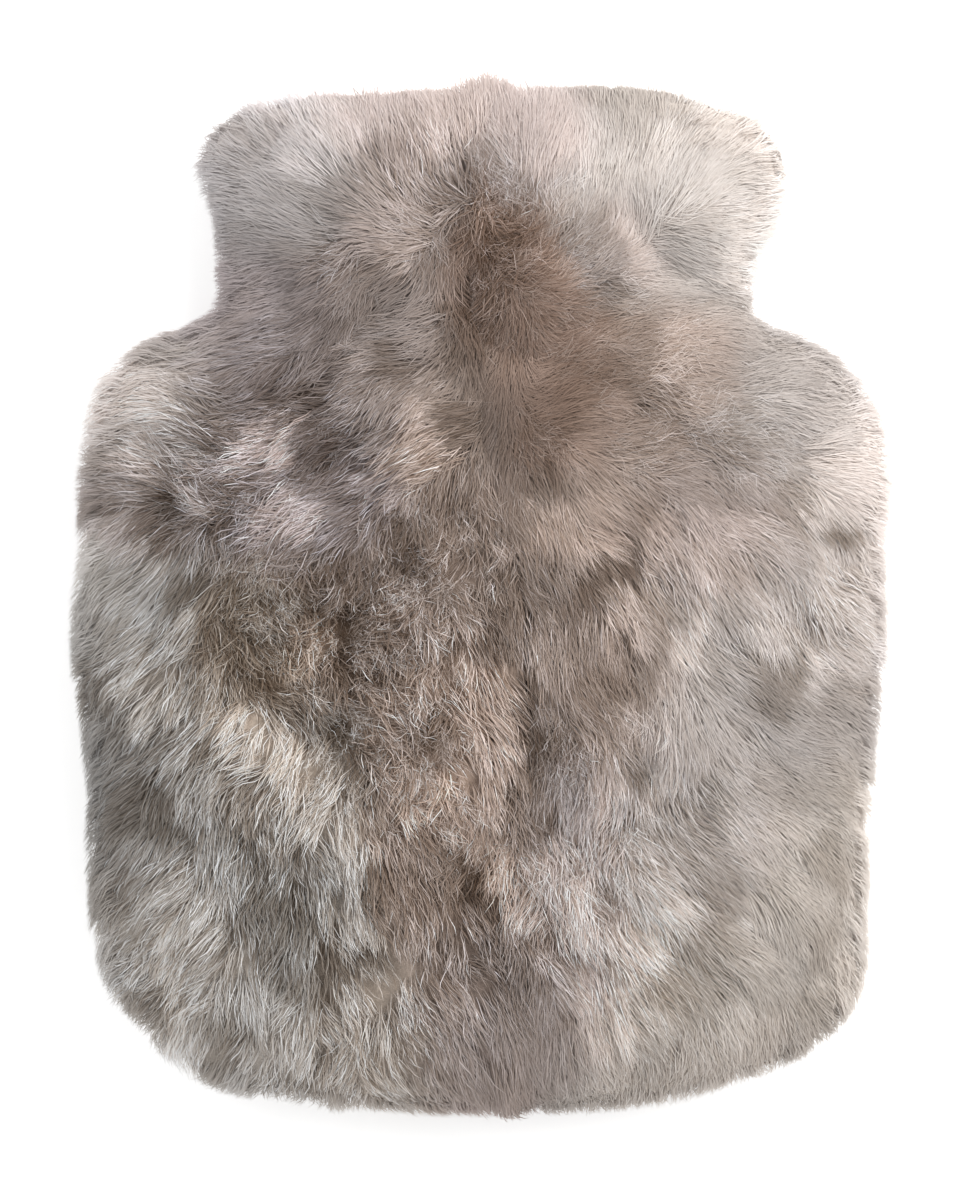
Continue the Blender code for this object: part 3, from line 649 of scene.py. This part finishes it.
# ---------------------------------------------------------------------------------------------
# The long wool of the front: hairs that rise from the skin in locks and lie down towards their tips,
# the way the fleece grew. Locks gather in tufts. Each ribbon of the mesh stands for a few hairs.
# ---------------------------------------------------------------------------------------------
# How the wool is combed: a place in millimetres from the middle of the cover, and the way that
# the hairs point there in degrees, 0 to the right and 90 to the mouth
COMB = (
    # collar, left and middle
    (-92, 166, 150), (-92, 146, 180), (-90, 122, 185), (-82, 170, 125), (-58, 172, 110),
    (-30, 173, 100), (0, 174, 95), (-72, 148, 150), (-74, 130, 165), (-58, 134, 142), (-48, 152, 122),
    (-34, 150, 112), (-14, 150, 125), (-30, 132, 155), (-62, 116, 180), (-46, 116, 268),
    (-78, 104, 190), (-28, 112, 205), (-12, 122, 270), (0, 104, 290), (6, 150, 105), (2, 128, 275),
    # collar, right
    (28, 172, 90), (54, 172, 86), (76, 170, 65), (92, 160, 38), (103, 144, 15), (102, 130, 5),
    (96, 114, -5), (28, 150, 80), (44, 148, 96), (50, 132, 110), (62, 150, 64), (78, 146, 33),
    (90, 132, 12), (70, 122, -18), (84, 112, -15), (36, 116, 20), (20, 118, 40), (12, 134, 80),
    # chest, left of the seam
    (-26, 92, 180), (-60, 96, 225), (-46, 82, 256), (-84, 86, 220), (-100, 94, 212), (-8, 84, 250),
    (-56, 64, 200), (-34, 62, 230), (-30, 78, 198), (-10, 64, 180), (-18, 48, 208), (-46, 44, 220),
    (-82, 56, 190), (-72, 40, 216), (-66, 26, 226), (-48, 28, 210), (-84, 40, 215), (-78, 72, 215),
    # chest, right of the seam
    (10, 90, 270), (30, 92, 20), (60, 104, -10), (52, 84, -2), (78, 82, -8), (104, 78, -14),
    (114, 86, 20), (126, 74, 8), (137, 56, 2), (138, 36, 0), (118, 58, 14), (102, 60, -16),
    (84, 60, -8), (64, 62, -16), (44, 62, -10), (26, 66, 30), (10, 62, 280), (14, 46, 290),
    (96, 44, -40), (70, 42, -38), (114, 40, -56), (46, 38, -48), (30, 34, -55), (90, 24, -42),
    (62, 20, -60), (104, 14, -42), (76, 4, -54), (94, 0, -74), (112, 2, -83), (122, 20, -83),
    (137, 14, -10), (137, -14, -15), (56, -4, -80), (36, 10, -52), (22, 24, -57), (30, -20, -70),
    # the whorl on the left shoulder and the wool that fans out below it
    (-120, 86, 200), (-134, 64, 182), (-104, 68, 147), (-98, 52, 132), (-118, 56, 168),
    (-134, 40, 188), (-98, 36, 112), (-112, 44, 138), (-108, 22, 262), (-118, 28, 240),
    (-132, 16, 208), (-136, -10, 214), (-96, 14, 256), (-116, -8, 238), (-100, -14, 256),
    # middle of the left side
    (-28, 30, 257), (-8, 36, 262), (-82, 8, 255), (-60, 8, 280), (-42, 12, 282), (-22, 10, 262),
    (-2, 14, 266), (-78, -18, 262), (-62, -16, 318), (-46, -12, 270), (-30, -14, 290),
    (-8, -14, 273), (-134, -40, 222), (-112, -40, 247), (-92, -40, 252), (-66, -34, 330),
    (-40, -36, 345), (-14, -40, 286), (6, -36, 294), (-76, -54, 214), (-54, -60, 240),
    (-34, -62, 300), (-14, -62, 286), (-132, -72, 212), (-110, -76, 250), (-86, -80, 282),
    (-60, -80, 272), (-40, -84, 300), (-18, -82, 285), (6, -78, 271),
    # bottom, left
    (-130, -104, 225), (-104, -106, 247), (-80, -108, 268), (-56, -108, 278), (-34, -108, 292),
    (-12, -108, 278), (8, -104, 269), (-120, -136, 216), (-96, -140, 250), (-70, -142, 266),
    (-46, -132, 303), (-26, -140, 292), (-4, -140, 291), (14, -136, 288), (-94, -166, 245),
    (-58, -168, 264), (-20, -170, 285), (20, -170, 285),
    # bottom, right
    (30, -48, 300), (24, -76, 276), (40, -76, 268), (54, -60, 272), (70, -50, 284), (96, -44, 321),
    (126, -40, 322), (84, -70, 319), (114, -68, 330), (66, -90, 307), (92, -94, 321),
    (120, -92, 300), (38, -106, 275), (56, -118, 305), (80, -124, 315), (106, -118, 294),
    (132, -122, 300), (34, -140, 296), (58, -148, 297), (86, -148, 289), (116, -146, 298),
    (48, -170, 276), (80, -168, 275), (134, -70, 340),
)
COMB_REACH, COMB_FAR, COMB_FAR_SHARE = 9.5 * MM, 5, 1e-9
COMB_FALL = 0.5  # how much it also hangs down, on the sides

TUFT_LENGTH, TUFT_WIDTH, TUFTS_OVERLAP = 12.5 * MM, 8 * MM, 1.1
TUFT_TURN, TUFT_ARC, TUFT_LEVEL, TUFT_TONE = 0.16, 0.3, 0.5 * MM, 0.06  # how tufts differ
TUFT_FAN = 0.5  # how much a tuft's locks lean to its middle
TUFT_TILT, TUFT_CROWN = 1.6 * MM, 1.2 * MM  # how much its tip and its middle stand up
TUFT_TIP_HIGHLIGHT, TUFT_SIDE_SHADE, TUFT_MEAN_TONE = 0.28, 0.22, 0.06  # a painted highlight on its raised tip, painted shade at its sides where tufts part, and how much paler it is overall
TUFT_DEPTH = 0.2  # how much less a tuft gathers what is far under or over it
TUFT_SEED = 40

HAIRS_IN_LOCK = 20
LOCK_LENGTH, LOCK_WIDTH = 2.3 * MM, 1.7 * MM
DRIFT, DRIFT_LENGTH, DRIFT_SEED = 0.12, 22 * MM, 11  # how the comb strays
LONGER, LONGER_LENGTH, LONGER_SEED = 0.10, 20 * MM, 15  # how the wool's length varies
# What differs from lock to lock and from hair to hair, each with its least and its most
LOCK_REACH, HAIR_LENGTH, HAIR_RISE = (0.9, 1.1), (0.7, 1.12), (0.7, 1.0)
HAIR_WAVE, HAIR_WIDTH = (0.5, 1.3), (0.75, 1.25)
HAIR_SWAY, HAIR_CURL, HAIR_DEPTH = 0.12, 0.10, 0.5 * MM  # how far hairs lean, bend and lie apart
STRAY_CURL = 2.5  # how much more than it leans a stray hair bends
FRIZZ_SWAY, FRIZZ_CURL, FRIZZ_GATHER = 0.35, 0.7, 0.45  # the same in frizz, and how its locks draw in
RIM_STAND, RIM_LONGER = 3.5 * MM, 0.7  # how far the rim's wool stands out, and how it grows with the flare
WALL_RADIUS = 24 * MM  # how sharply the surface bends under a hair on the rim
ROOT_BACK, ROOT_BACK_WALL = 0.45, 0.37  # how far behind its place a hair starts, and less on the rim
ROOT_SUNK, ROOT_SUNK_WALL = 0.8 * MM, 2.5 * MM  # how deep it starts, and more on the rim
LIE_DOWN = 1.4  # how fast a hair lies down
ROOT_WIDTH, TIP_TAPER = 0.3, 0.35  # a ribbon's width at its root, and how it narrows to its tip
LOOK_UP, LOOK_UP_ABOVE = 0.8, -0.3  # the ribbons turn their faces up, but not those under the cover
TIP_TONE, TONE_CURVE = 1.04, 0.8  # how light a tip is over its root's painted shade, and how soon along the hair that shade fades
PALE_WOOL = np.array((1.06, 1.0, 0.94))  # the tint of hairs that have lost their colour
TABLE_CLEARANCE = 0.2 * MM
DARKEST, LIGHTEST = 0.01, 0.95
STRAND_KINDS, STRAND_GAP = 50, 3  # how many kinds of streaks there are, and how far apart they lie
CELL_ASPECT, CELL_LEFT, CELL_WIDTH, CELL_FOOT, CELL_HEIGHT = 1.5, 0.2, 0.6, 0.15, 0.7  # of one hair
ROUNDNESS = 0.7  # how much the panel's facets are rounded under the wool
# What the wool does where it is sleek, and how much more where it is crisp and where it is frizzy
HABITS = {
    "follow": (0.18, 0.6, 0.5),  # how much a lock follows its tuft
    "turn": (0.04, 0.05, 0.24),  # how far a lock turns out of the comb
    "arc": (0.05, 0.05, 0.5),  # how much a lock curves
    "level": (0.1, 0.1, 0.4),  # how high a lock lies, in millimetres
    "reach": (1.15, -0.25, -0.2),  # how long it is
    "tone": (0.015, 0.05, 0.05),  # how much locks differ in shade
    "tuft_tone": (0.4, 0.6, 0),  # how much tufts differ in shade
    "rise": (0.42, 0.58, 0),  # how steeply a hair comes out
    "depth": (0.5, 1.0, 0),  # how deep a hair lies under the others
    "wave": (0.4, 0.8, 0),  # how much it is crimped
    "roll": (0.15, 0.3, 0),  # how much it turns round itself
    "width": (1, -0.15, 0),
    "softness": (0.9, -0.6, 0),  # how evenly the light falls on it
    "streak": (0.2, 2.2, 0.8),  # how much hairs differ in shade
    "one_shade": (0.25, 0.4, 0),  # how much a hair has the shade of its tuft's middle
    # painted shade at a hair's root, deeper where the wool is crisp or frizzy
    "deeper_root_shade": (0, 0.42, 0.1),
}
# A hair's points as shares of its length, how steeply its tip and its root lift, how deep it starts,
# how crimped, stray and streaked it is, its tint, its root's painted shade, the painted shadow that
# frizz casts on it, and how pale frizz makes it
PLAIN_HAIR = dict(shares=(0, 0.5, 1), lift=0.03, steep=1.0, sunk=0.0, crimp=0.0, stray=0.0, streak=0.2,
                  tint=1.0, root_tone=0.94, shadow=0.0, pale=0.0)
RIGHT_HAIR = PLAIN_HAIR | dict(width=0.38 * MM, length=14 * MM, steep=0.9, crimp=0.5 * MM, shadow=0.3)
LEFT_HAIR = RIGHT_HAIR | dict(shares=(0, 0.35, 0.7, 1))
LEFT_HAIRS, RIGHT_HAIRS = 30000, 50000
SPLIT = 20 * MM  # how far up the front is halved
LEAST_UPRIGHT = 0.5  # the share of the wool that grows where the surface is a wall


def unit(vectors):
    """The same directions with a length of 1."""
    return vectors / np.maximum(np.linalg.norm(vectors, axis=1, keepdims=True), 1e-9)


def combed(points, up):
    """The way that the hairs lie at each point, along the surface, and downwards on the sides."""
    comb = np.array(COMB, float)
    weight = nearness(points, comb, COMB_REACH)
    weight += COMB_FAR_SHARE * nearness(points, comb, COMB_FAR * COMB_REACH)
    angle = np.radians(comb[:, 2])
    flat = unit(weight @ np.column_stack((np.cos(angle), np.sin(angle))))
    way = np.column_stack((flat, np.full(len(points), -COMB_FALL)))
    return unit(way - up * (way * up).sum(1, keepdims=True))


def arrays(shape):
    """A surface's points, the ways they look, and its triangles' corners."""
    return (np.array([vert.co[:] for vert in shape.verts]),
            np.array([vert.normal[:] for vert in shape.verts]),
            np.array([[vert.index for vert in face.verts] for face in shape.faces]))


def scattered(surface, count, favour, chance):
    """Random points on a surface rounded over its facets, denser where favour says."""
    places, normals, corners = surface
    a, b, c = (places[corners[:, k]] for k in range(3))
    size = np.linalg.norm(np.cross(b - a, c - a), axis=1) / 2
    size = size * favour((a + b + c) / 3, unit(normals[corners].mean(1)))
    pick = chance.choice(len(corners), size=count, p=size / size.sum())
    u, v = chance.random(count), chance.random(count)
    over = u + v > 1
    u[over], v[over] = 1 - u[over], 1 - v[over]
    share = np.stack((1 - u - v, u, v), 1)[:, :, None]
    corner_places, corner_normals = places[corners[pick]], normals[corners[pick]]
    flat = (corner_places * share).sum(1)
    off = ((flat[:, None] - corner_places) * corner_normals).sum(2, keepdims=True)
    rounded = ((flat[:, None] - off * corner_normals) * share).sum(1)
    return (1 - ROUNDNESS) * flat + ROUNDNESS * rounded, unit((corner_normals * share).sum(1))


def evenly(places, up):
    """The same everywhere."""
    return np.ones(len(places))


def tufts_on(surface, seed):
    """The tufts that the wool gathers in: a place, the way it lies, and how it differs."""
    chance = np.random.default_rng(seed)
    places, _, corners = surface
    area = sum(np.linalg.norm(np.cross(places[b] - places[a], places[c] - places[a])) / 2
               for a, b, c in corners)
    count = int(area / (TUFT_LENGTH * TUFT_WIDTH) * TUFTS_OVERLAP)
    middle, up = scattered(surface, count, evenly, chance)
    way = combed(middle, up)
    return {"middle": middle, "way": way, "side": np.cross(up, way),
            "turn": chance.normal(0, TUFT_TURN, count), "arc": chance.normal(0, TUFT_ARC, count),
            "level": chance.normal(0, TUFT_LEVEL, count), "tone": chance.normal(1, TUFT_TONE, count)}


def gathered(tufts, points):
    """Each point's tuft, and its place in it: along it from -1 to 1 and across it."""
    off = points[:, None] - tufts["middle"][None]
    along = (off * tufts["way"][None]).sum(2) / TUFT_LENGTH
    across = (off * tufts["side"][None]).sum(2) / TUFT_WIDTH
    depth = (off**2).sum(2) / TUFT_WIDTH**2
    tuft = np.argmin(along**2 + across**2 + TUFT_DEPTH * depth, axis=1)
    pick = np.arange(len(points)), tuft
    return tuft, np.clip(along[pick], -1, 1), np.clip(across[pick], -1, 1)


def habit(name, locks):
    """What the wool does at each lock, by how crisp and how frizzy it is there."""
    sleek, crisp, frizz = HABITS[name]
    return sleek + crisp * locks.crisp + frizz * locks.frizz


def lay_locks(surface, tufts, count, favour, length, chance):
    """Locks at random places on a surface: how each lies, and how high, long and pale it is."""
    middle, up = scattered(surface, count, favour, chance)
    tuft, along, across = gathered(tufts, middle)
    frizz = frizzed(middle)
    crisp = np.maximum(crisped(middle), frizz)
    locks = SimpleNamespace(middle=middle, up=up, tuft=tuft, frizz=frizz, crisp=crisp)
    way = combed(middle, up)
    side = np.cross(up, way)
    follow = habit("follow", locks)
    turn = DRIFT * scatter_noise(middle, DRIFT_LENGTH, DRIFT_SEED)
    turn += follow * (tufts["turn"][tuft] - TUFT_FAN * across)
    turn += chance.normal(0, habit("turn", locks), count)
    locks.way = way * np.cos(turn)[:, None] + side * np.sin(turn)[:, None]
    locks.side = side * np.cos(turn)[:, None] - way * np.sin(turn)[:, None]
    locks.arc = follow * tufts["arc"][tuft] + chance.normal(0, habit("arc", locks), count)
    locks.level = chance.normal(0, 1, count) * habit("level", locks) * MM
    locks.level += follow * (tufts["level"][tuft] + TUFT_TILT * along - TUFT_CROWN * across**2)
    locks.reach = length * habit("reach", locks) * chance.uniform(*LOCK_REACH, count)
    locks.reach *= 1 + LONGER * scatter_noise(middle, LONGER_LENGTH, LONGER_SEED)
    locks.reach += RIM_LONGER * flared(middle)
    locks.wall = 1 - np.clip(up[:, 2], 0, 1)
    locks.stand = (RIM_STAND + flared(middle)) * at_rim(up)
    locks.tone = chance.normal(1, habit("tone", locks), count)
    locks.tone *= 1 + (tufts["tone"][tuft] - 1) * habit("tuft_tone", locks)
    # Crisp tufts get a painted highlight towards their raised tips and painted shade at their sides.
    locks.tone *= 1 + crisp * (TUFT_TIP_HIGHLIGHT * along - TUFT_SIDE_SHADE * across**2 + TUFT_MEAN_TONE)
    return locks


def lay_hairs(locks, kind, chance):
    """The hairs of each lock: each one's lock, and its points from the root to the tip."""
    lock = np.repeat(np.arange(len(locks.middle)), HAIRS_IN_LOCK)
    count, last, shares = len(lock), len(kind.shares) - 1, kind.shares
    frizz, wall, up = locks.frizz[lock], locks.wall[lock], locks.up[lock]
    way, side = locks.way[lock], locks.side[lock]
    offset = chance.normal(0, 1, (count, 2)) * np.array((LOCK_LENGTH, LOCK_WIDTH))
    root = locks.middle[lock] + way * offset[:, :1] + side * offset[:, 1:]
    length = locks.reach[lock] * chance.uniform(*HAIR_LENGTH, count)
    sway = np.clip(chance.normal(0, HAIR_SWAY + kind.stray, count), -1, 1)
    sway += chance.normal(0, FRIZZ_SWAY, count) * frizz
    curl = np.clip(chance.normal(0, HAIR_CURL + STRAY_CURL * kind.stray, count), -2, 2)
    curl += locks.arc[lock] + chance.normal(0, FRIZZ_CURL, count) * frizz
    rise = chance.uniform(*HAIR_RISE, count) * kind.steep * habit("rise", locks)[lock]
    fall, climb = np.zeros((count, last + 1)), np.zeros((count, last + 1))
    for k in range(1, last + 1):
        angle = rise * (1 - (shares[k] + shares[k - 1]) / 2) ** LIE_DOWN + kind.lift
        step = length * (shares[k] - shares[k - 1])
        fall[:, k] = fall[:, k - 1] + np.cos(angle) * step
        climb[:, k] = climb[:, k - 1] + np.sin(angle) * step
    level = locks.level[lock] - kind.sunk
    level -= np.abs(chance.normal(0, HAIR_DEPTH, count)) * habit("depth", locks)[lock]
    wave = kind.crimp * np.where(chance.random(count) < 0.5, -1, 1) * chance.uniform(*HAIR_WAVE, count)
    wave *= habit("wave", locks)[lock]
    path = np.zeros((count, last + 1, 3))
    for k in range(last + 1):
        run = fall[:, k] - (ROOT_BACK - ROOT_BACK_WALL * wall) * fall[:, -1]
        drift = sway * fall[:, k] + curl * fall[:, k] ** 2 / (2 * fall[:, -1]) + wave * (k % 2 - 0.5)
        drift -= FRIZZ_GATHER * frizz * offset[:, 1] * shares[k]
        place = root + way * run[:, None] + side * drift[:, None]
        height = raised(place) * on_top(up) + locks.stand[lock] + climb[:, k] - climb[:, -1] + level
        height -= wall / WALL_RADIUS * run**2 / 2
        height -= (ROOT_SUNK + ROOT_SUNK_WALL * wall) * (1 - shares[k]) ** 2
        path[:, k] = place + up * height[:, None]
    return lock, path


def ribbons(name, path, locks, lock, kind, chance):
    """A mesh of ribbons along the hairs, each with a pointed tip and its face to the sky."""
    count, last, up = len(path), path.shape[1] - 1, locks.up[lock]
    behind = -2 if last < 4 else 1  # a kinked hair is turned by its whole length
    along = unit(path[:, -1] - path[:, behind])
    roll = chance.normal(0, 1, count) * habit("roll", locks)[lock]
    sky = unit(up + np.array((0, 0, LOOK_UP)) * (up[:, 2:] > LOOK_UP_ABOVE))
    flat = unit(np.cross(along, sky))
    flat = flat * np.cos(roll)[:, None] + np.cross(flat, along) * np.sin(roll)[:, None]
    half = kind.width / 2 * chance.uniform(*HAIR_WIDTH, count) * habit("width", locks)[lock]
    points = np.zeros((count, 2 * last + 1, 3))
    for k in range(last):
        edge = flat * half[:, None] * (1 - TIP_TAPER * kind.shares[k] if k else ROOT_WIDTH)
        points[:, 2 * k], points[:, 2 * k + 1] = path[:, k] - edge, path[:, k] + edge
    points[:, -1] = path[:, -1]
    points[:, :, 2] = np.maximum(points[:, :, 2], TABLE_CLEARANCE)

    facing = np.cross(points[:, 1] - points[:, 0], points[:, -1] - points[:, 0])
    inward = (facing * sky).sum(1) < 0
    order, turned = [], []
    for k in range(0, 2 * last - 2, 2):
        order += [k, k + 1, k + 3, k + 2]
        turned += [k, k + 2, k + 3, k + 1]
    order += [2 * last - 2, 2 * last - 1, 2 * last]
    turned += [2 * last - 2, 2 * last, 2 * last - 1]
    corner = np.where(inward[:, None], np.array(turned), np.array(order))
    loops = np.arange(count)[:, None] * (2 * last + 1) + corner
    mesh = bpy.data.meshes.new(name)
    mesh.vertices.add(points.size // 3)
    mesh.vertices.foreach_set("co", points.astype(np.float32).ravel())
    mesh.loops.add(loops.size)
    mesh.loops.foreach_set("vertex_index", loops.astype(np.int32).ravel())
    mesh.polygons.add(count * last)
    starts = np.arange(count)[:, None] * corner.shape[1] + np.arange(last) * 4
    mesh.polygons.foreach_set("loop_start", starts.astype(np.int32).ravel())
    mesh.update(calc_edges=True)
    soft = np.clip(habit("softness", locks)[lock], 0, 1)[:, None]
    facing = unit(facing) * np.where(inward, -1, 1)[:, None]
    mesh.normals_split_custom_set_from_vertices(
        np.repeat(unit(soft * sky + (1 - soft) * facing), 2 * last + 1, axis=0))
    return mesh, corner


def dye(mesh, path, tufts, locks, lock, kind, chance):
    """Gives each hair its colour, with painted shade that darkens and browns it towards its root."""
    shares = np.repeat(np.array(kind.shares), 2)[:-1]
    streak = chance.normal(0, 1, len(path)) * kind.streak * habit("streak", locks)[lock]
    # kind.shadow paints the shade that frizz hairs cast on the wool beneath them
    tone = locks.tone[lock] * np.exp(streak) * kind.tint * (1 - kind.shadow * locks.frizz[lock])
    shift = habit("one_shade", locks)[lock, None] * (tufts["middle"][locks.tuft[lock]] - path[:, -2])
    base = shaded(path[:, -2] + shift)
    base = base + kind.pale * (base.mean(1, keepdims=True) * PALE_WOOL - base)
    base = base * tone[:, None] ** WARMING
    # painted shade at the root, where the hairs above shade it, fading to the tip
    root_tone = kind.root_tone - habit("deeper_root_shade", locks)[lock, None]
    steps = root_tone + (TIP_TONE - root_tone) * shares[None, :] ** TONE_CURVE
    shades = np.ones((len(path), len(shares), 4))
    shades[:, :, :3] = np.clip(base[:, None, :] * steps[:, :, None] ** WARMING, DARKEST, LIGHTEST)
    mesh.color_attributes.new("wool_colour", "FLOAT_COLOR", "POINT").data.foreach_set(
        "color", shades.astype(np.float32).ravel())


def unroll(mesh, corner, kind, chance):
    """Lays each hair out flat for its streaks, and all of them side by side in a second map, a cell each.
    """
    count, shares = len(corner), np.repeat(np.array(kind.shares), 2)[:-1]
    across = np.array([0, 1] * (len(kind.shares) - 1) + [0.5])
    number = np.floor(chance.random(count) * STRAND_KINDS)
    pairs = np.stack((across[corner] + number[:, None] * STRAND_GAP, shares[corner]), 2)
    mesh.uv_layers.new(name="strand").data.foreach_set("uv", pairs.astype(np.float32).ravel())
    columns = math.ceil(math.sqrt(CELL_ASPECT * count))
    rows = math.ceil(count / columns)
    cell = np.arange(count)[:, None]
    pairs = np.stack(((cell % columns + CELL_LEFT + CELL_WIDTH * across[corner]) / columns,
                      (cell // columns + CELL_FOOT + CELL_HEIGHT * shares[corner]) / rows), 2)
    mesh.uv_layers.new(name="OFBake").data.foreach_set("uv", pairs.astype(np.float32).ravel())


def grow(name, surface, tufts, hairs, favour, seed, kind):
    """Wool on a surface: locks of ribbons that rise from under it and end on it."""
    chance = np.random.default_rng(seed)
    kind = SimpleNamespace(**kind)
    locks = lay_locks(surface, tufts, hairs // HAIRS_IN_LOCK, favour, kind.length, chance)
    lock, path = lay_hairs(locks, kind, chance)
    mesh, corner = ribbons(name, path, locks, lock, kind, chance)
    dye(mesh, path, tufts, locks, lock, kind, chance)
    unroll(mesh, corner, kind, chance)
    return placed(name, mesh, long_wool)


long_wool, make, join = finish("wool")
read = make("ShaderNodeAttribute", {"attribute_name": "wool_colour"})
strand = make("ShaderNodeUVMap", {"uv_map": "strand"})
stretch = make("ShaderNodeMapping", Vector=strand.outputs["UV"], Scale=(3.2, 1.2, 1))
streaks = make("ShaderNodeTexNoise", Vector=stretch.outputs["Vector"], Scale=1.0, Detail=2.0)
streaked = make("ShaderNodeGroup", {"node_tree": mottle}, Colour=read.outputs["Color"],
                Pattern=streaks.outputs["Fac"], Darkest=0.85, Lightest=1.12)
join(long_wool.node_tree.nodes["Principled BSDF"], {
    "Base_Color": streaked.outputs["Mottled"], "Roughness": 0.65, "Specular_IOR_Level": 0.15,
    "Sheen_Weight": 0.1, "Sheen_Roughness": 0.5})

surfaces, tufts = {}, {}
for node in PANELS:
    shape = one_side(node, WOOL_SIDE)
    surfaces[node] = arrays(shape)
    tufts[node] = tufts_on(surfaces[node], TUFT_SEED)
    shape.free()


def half(above):
    """Where the wool of the front's upper or lower half grows, thinner on its sides."""
    def favour(places, up):
        upright = LEAST_UPRIGHT + (1 - LEAST_UPRIGHT) * np.clip(up[:, 2], 0, 1)
        return upright * ((places[:, 1] > SPLIT) == above)
    return favour


for side, hairs, kind, seeds in (("left", LEFT_HAIRS, LEFT_HAIR, (200, 205)),
                                 ("right", RIGHT_HAIRS, RIGHT_HAIR, (210, 215))):
    node = "front_" + side
    for part, above, seed in zip(("top", "bottom"), (True, False), seeds):
        grow(f"wool_{side}_{part}", surfaces[node], tufts[node], hairs, half(above), seed,
             kind)

# ---------------------------------------------------------------------------------------------
# The frizz of the front: thin, kinked and paler single hairs that stand up between the locks where
# the fleece is felted, in the middle of the front and round the collar.
# ---------------------------------------------------------------------------------------------
FRIZZ_HAIR = PLAIN_HAIR | dict(shares=(0, 0.25, 0.5, 0.75, 1), width=0.19 * MM, length=5 * MM, tint=1.2,
                               stray=0.3, sunk=-0.3 * MM, crimp=0.6 * MM, pale=0.15)
FRIZZ_HAIRS, FRIZZ_FACES_UP = 9500, 0.3


def frizzy(places, up):
    """Only on top, and the more the frizzier the wool is."""
    return (up[:, 2] > FRIZZ_FACES_UP) * frizzed(places)


for side, seed in (("left", 245), ("right", 255)):
    node = "front_" + side
    grow(f"wool_{side}_frizz", surfaces[node], tufts[node], FRIZZ_HAIRS, frizzy, seed,
         FRIZZ_HAIR)

# ---------------------------------------------------------------------------------------------
# The wool of the side seam: the edges of the front and back skins, whose wool stands out all round
# and hides the seam. It is painted paler, with hardly darker roots, for the light that shines through
# the rim's fuzz, and covers the rim's locks.
# tint and root shade are painted light: paler than the face's wool, for the light in the rim's fuzz
EDGE_HAIR = PLAIN_HAIR | dict(width=0.36 * MM, length=14 * MM, sunk=-4.5 * MM, steep=1.2, lift=0.4,
                              stray=0.05, streak=0.08, tint=1.12, root_tone=0.95)
EDGE_HAIRS, EDGE_BAND, FACES_MOUTH = 17000, 11 * MM, 0.95


def at_edge(way):
    """Where the wool of one side's edge grows: along the side seam, but not in the mouth."""
    def favour(places, up):
        return ((np.abs(places[:, 2] - SEAM_LEVEL) < EDGE_BAND) * (places[:, 0] * way > 0)
                * (up[:, 1] < FACES_MOUTH))
    return favour


starts = np.cumsum([0] + [len(surfaces[node][0]) for node in PANELS])
whole = (np.concatenate([surfaces[node][0] for node in PANELS]),
         np.concatenate([surfaces[node][1] for node in PANELS]),
         np.concatenate([surfaces[node][2] + start for node, start in zip(PANELS, starts)]))
all_tufts = {key: np.concatenate([tufts[node][key] for node in PANELS]) for key in tufts["back_panel"]}
for side, way, seed in (("left", -1, 400), ("right", 1, 401)):
    edge = grow(f"wool_edge_{side}", whole, all_tufts, EDGE_HAIRS, at_edge(way), seed,
                EDGE_HAIR)
    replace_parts(edge, f"rim_locks_{side}")

# ---------------------------------------------------------------------------------------------
# The wool of the mouth's lips: the skins' top ends, whose wool stands up past the hide and falls
# over the opening. It covers the lips' locks, and has some hairs on each of the three skins.
# ---------------------------------------------------------------------------------------------
LIP_HAIR = PLAIN_HAIR | dict(width=0.38 * MM, length=12 * MM, sunk=-0.5 * MM, steep=1.8)
BACK_LIP_HAIR = PLAIN_HAIR | dict(width=0.5 * MM, length=15 * MM, sunk=-1 * MM, steep=1.6)
LIP_HAIRS, LIP_START = 3400, 160 * MM


def lip(places, up):
    """Only at the mouth."""
    return places[:, 1] > LIP_START


for name, node, seed, kind in (("wool_lip_front", "front_left", 402, LIP_HAIR),
                               ("wool_lip_front_right", "front_right", 403, LIP_HAIR),
                               ("wool_lip_back", "back_panel", 404, BACK_LIP_HAIR)):
    grow(name, surfaces[node], tufts[node], LIP_HAIRS, lip, seed, kind)
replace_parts(bpy.data.objects["wool_lip_front"], "lip_locks_front")
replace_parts(bpy.data.objects["wool_lip_back"], "lip_locks_back")

# ---------------------------------------------------------------------------------------------
# The wool of the back: one skin's, which lies flat under the cover's own weight. Its locks are
# coarser and plainer than the front's.
# ---------------------------------------------------------------------------------------------
BACK_HAIR = PLAIN_HAIR | dict(width=1.0 * MM, length=14 * MM)
BACK_HAIRS = 12000

grow("wool_back", surfaces["back_panel"], tufts["back_panel"], BACK_HAIRS, evenly, 300,
     BACK_HAIR)

# ---------------------------------------------------------------------------------------------
# The cloth of the cover: each hide, with what is under it and the wool and the stitches that are on
# it, and the panel, flat size and area that its skin is cut to, read from the hides' table.
# ---------------------------------------------------------------------------------------------
for hide, under_it, with_it in (
        ("hide_front_left", "hide_back",
         ["undercoat_front_left", "wool_left_top", "wool_left_bottom", "wool_left_frizz", "wool_edge_left",
          "wool_lip_front", "seam_centre"]),
        ("hide_front_right", "hide_back",
         ["undercoat_front_right", "wool_right_top", "wool_right_bottom", "wool_right_frizz",
          "wool_edge_right", "wool_lip_front_right"]),
        ("hide_back", "undercoat_back", ["undercoat_back", "wool_back", "wool_lip_back", "seam_side"])):
    node, flat, area = HIDES[hide]
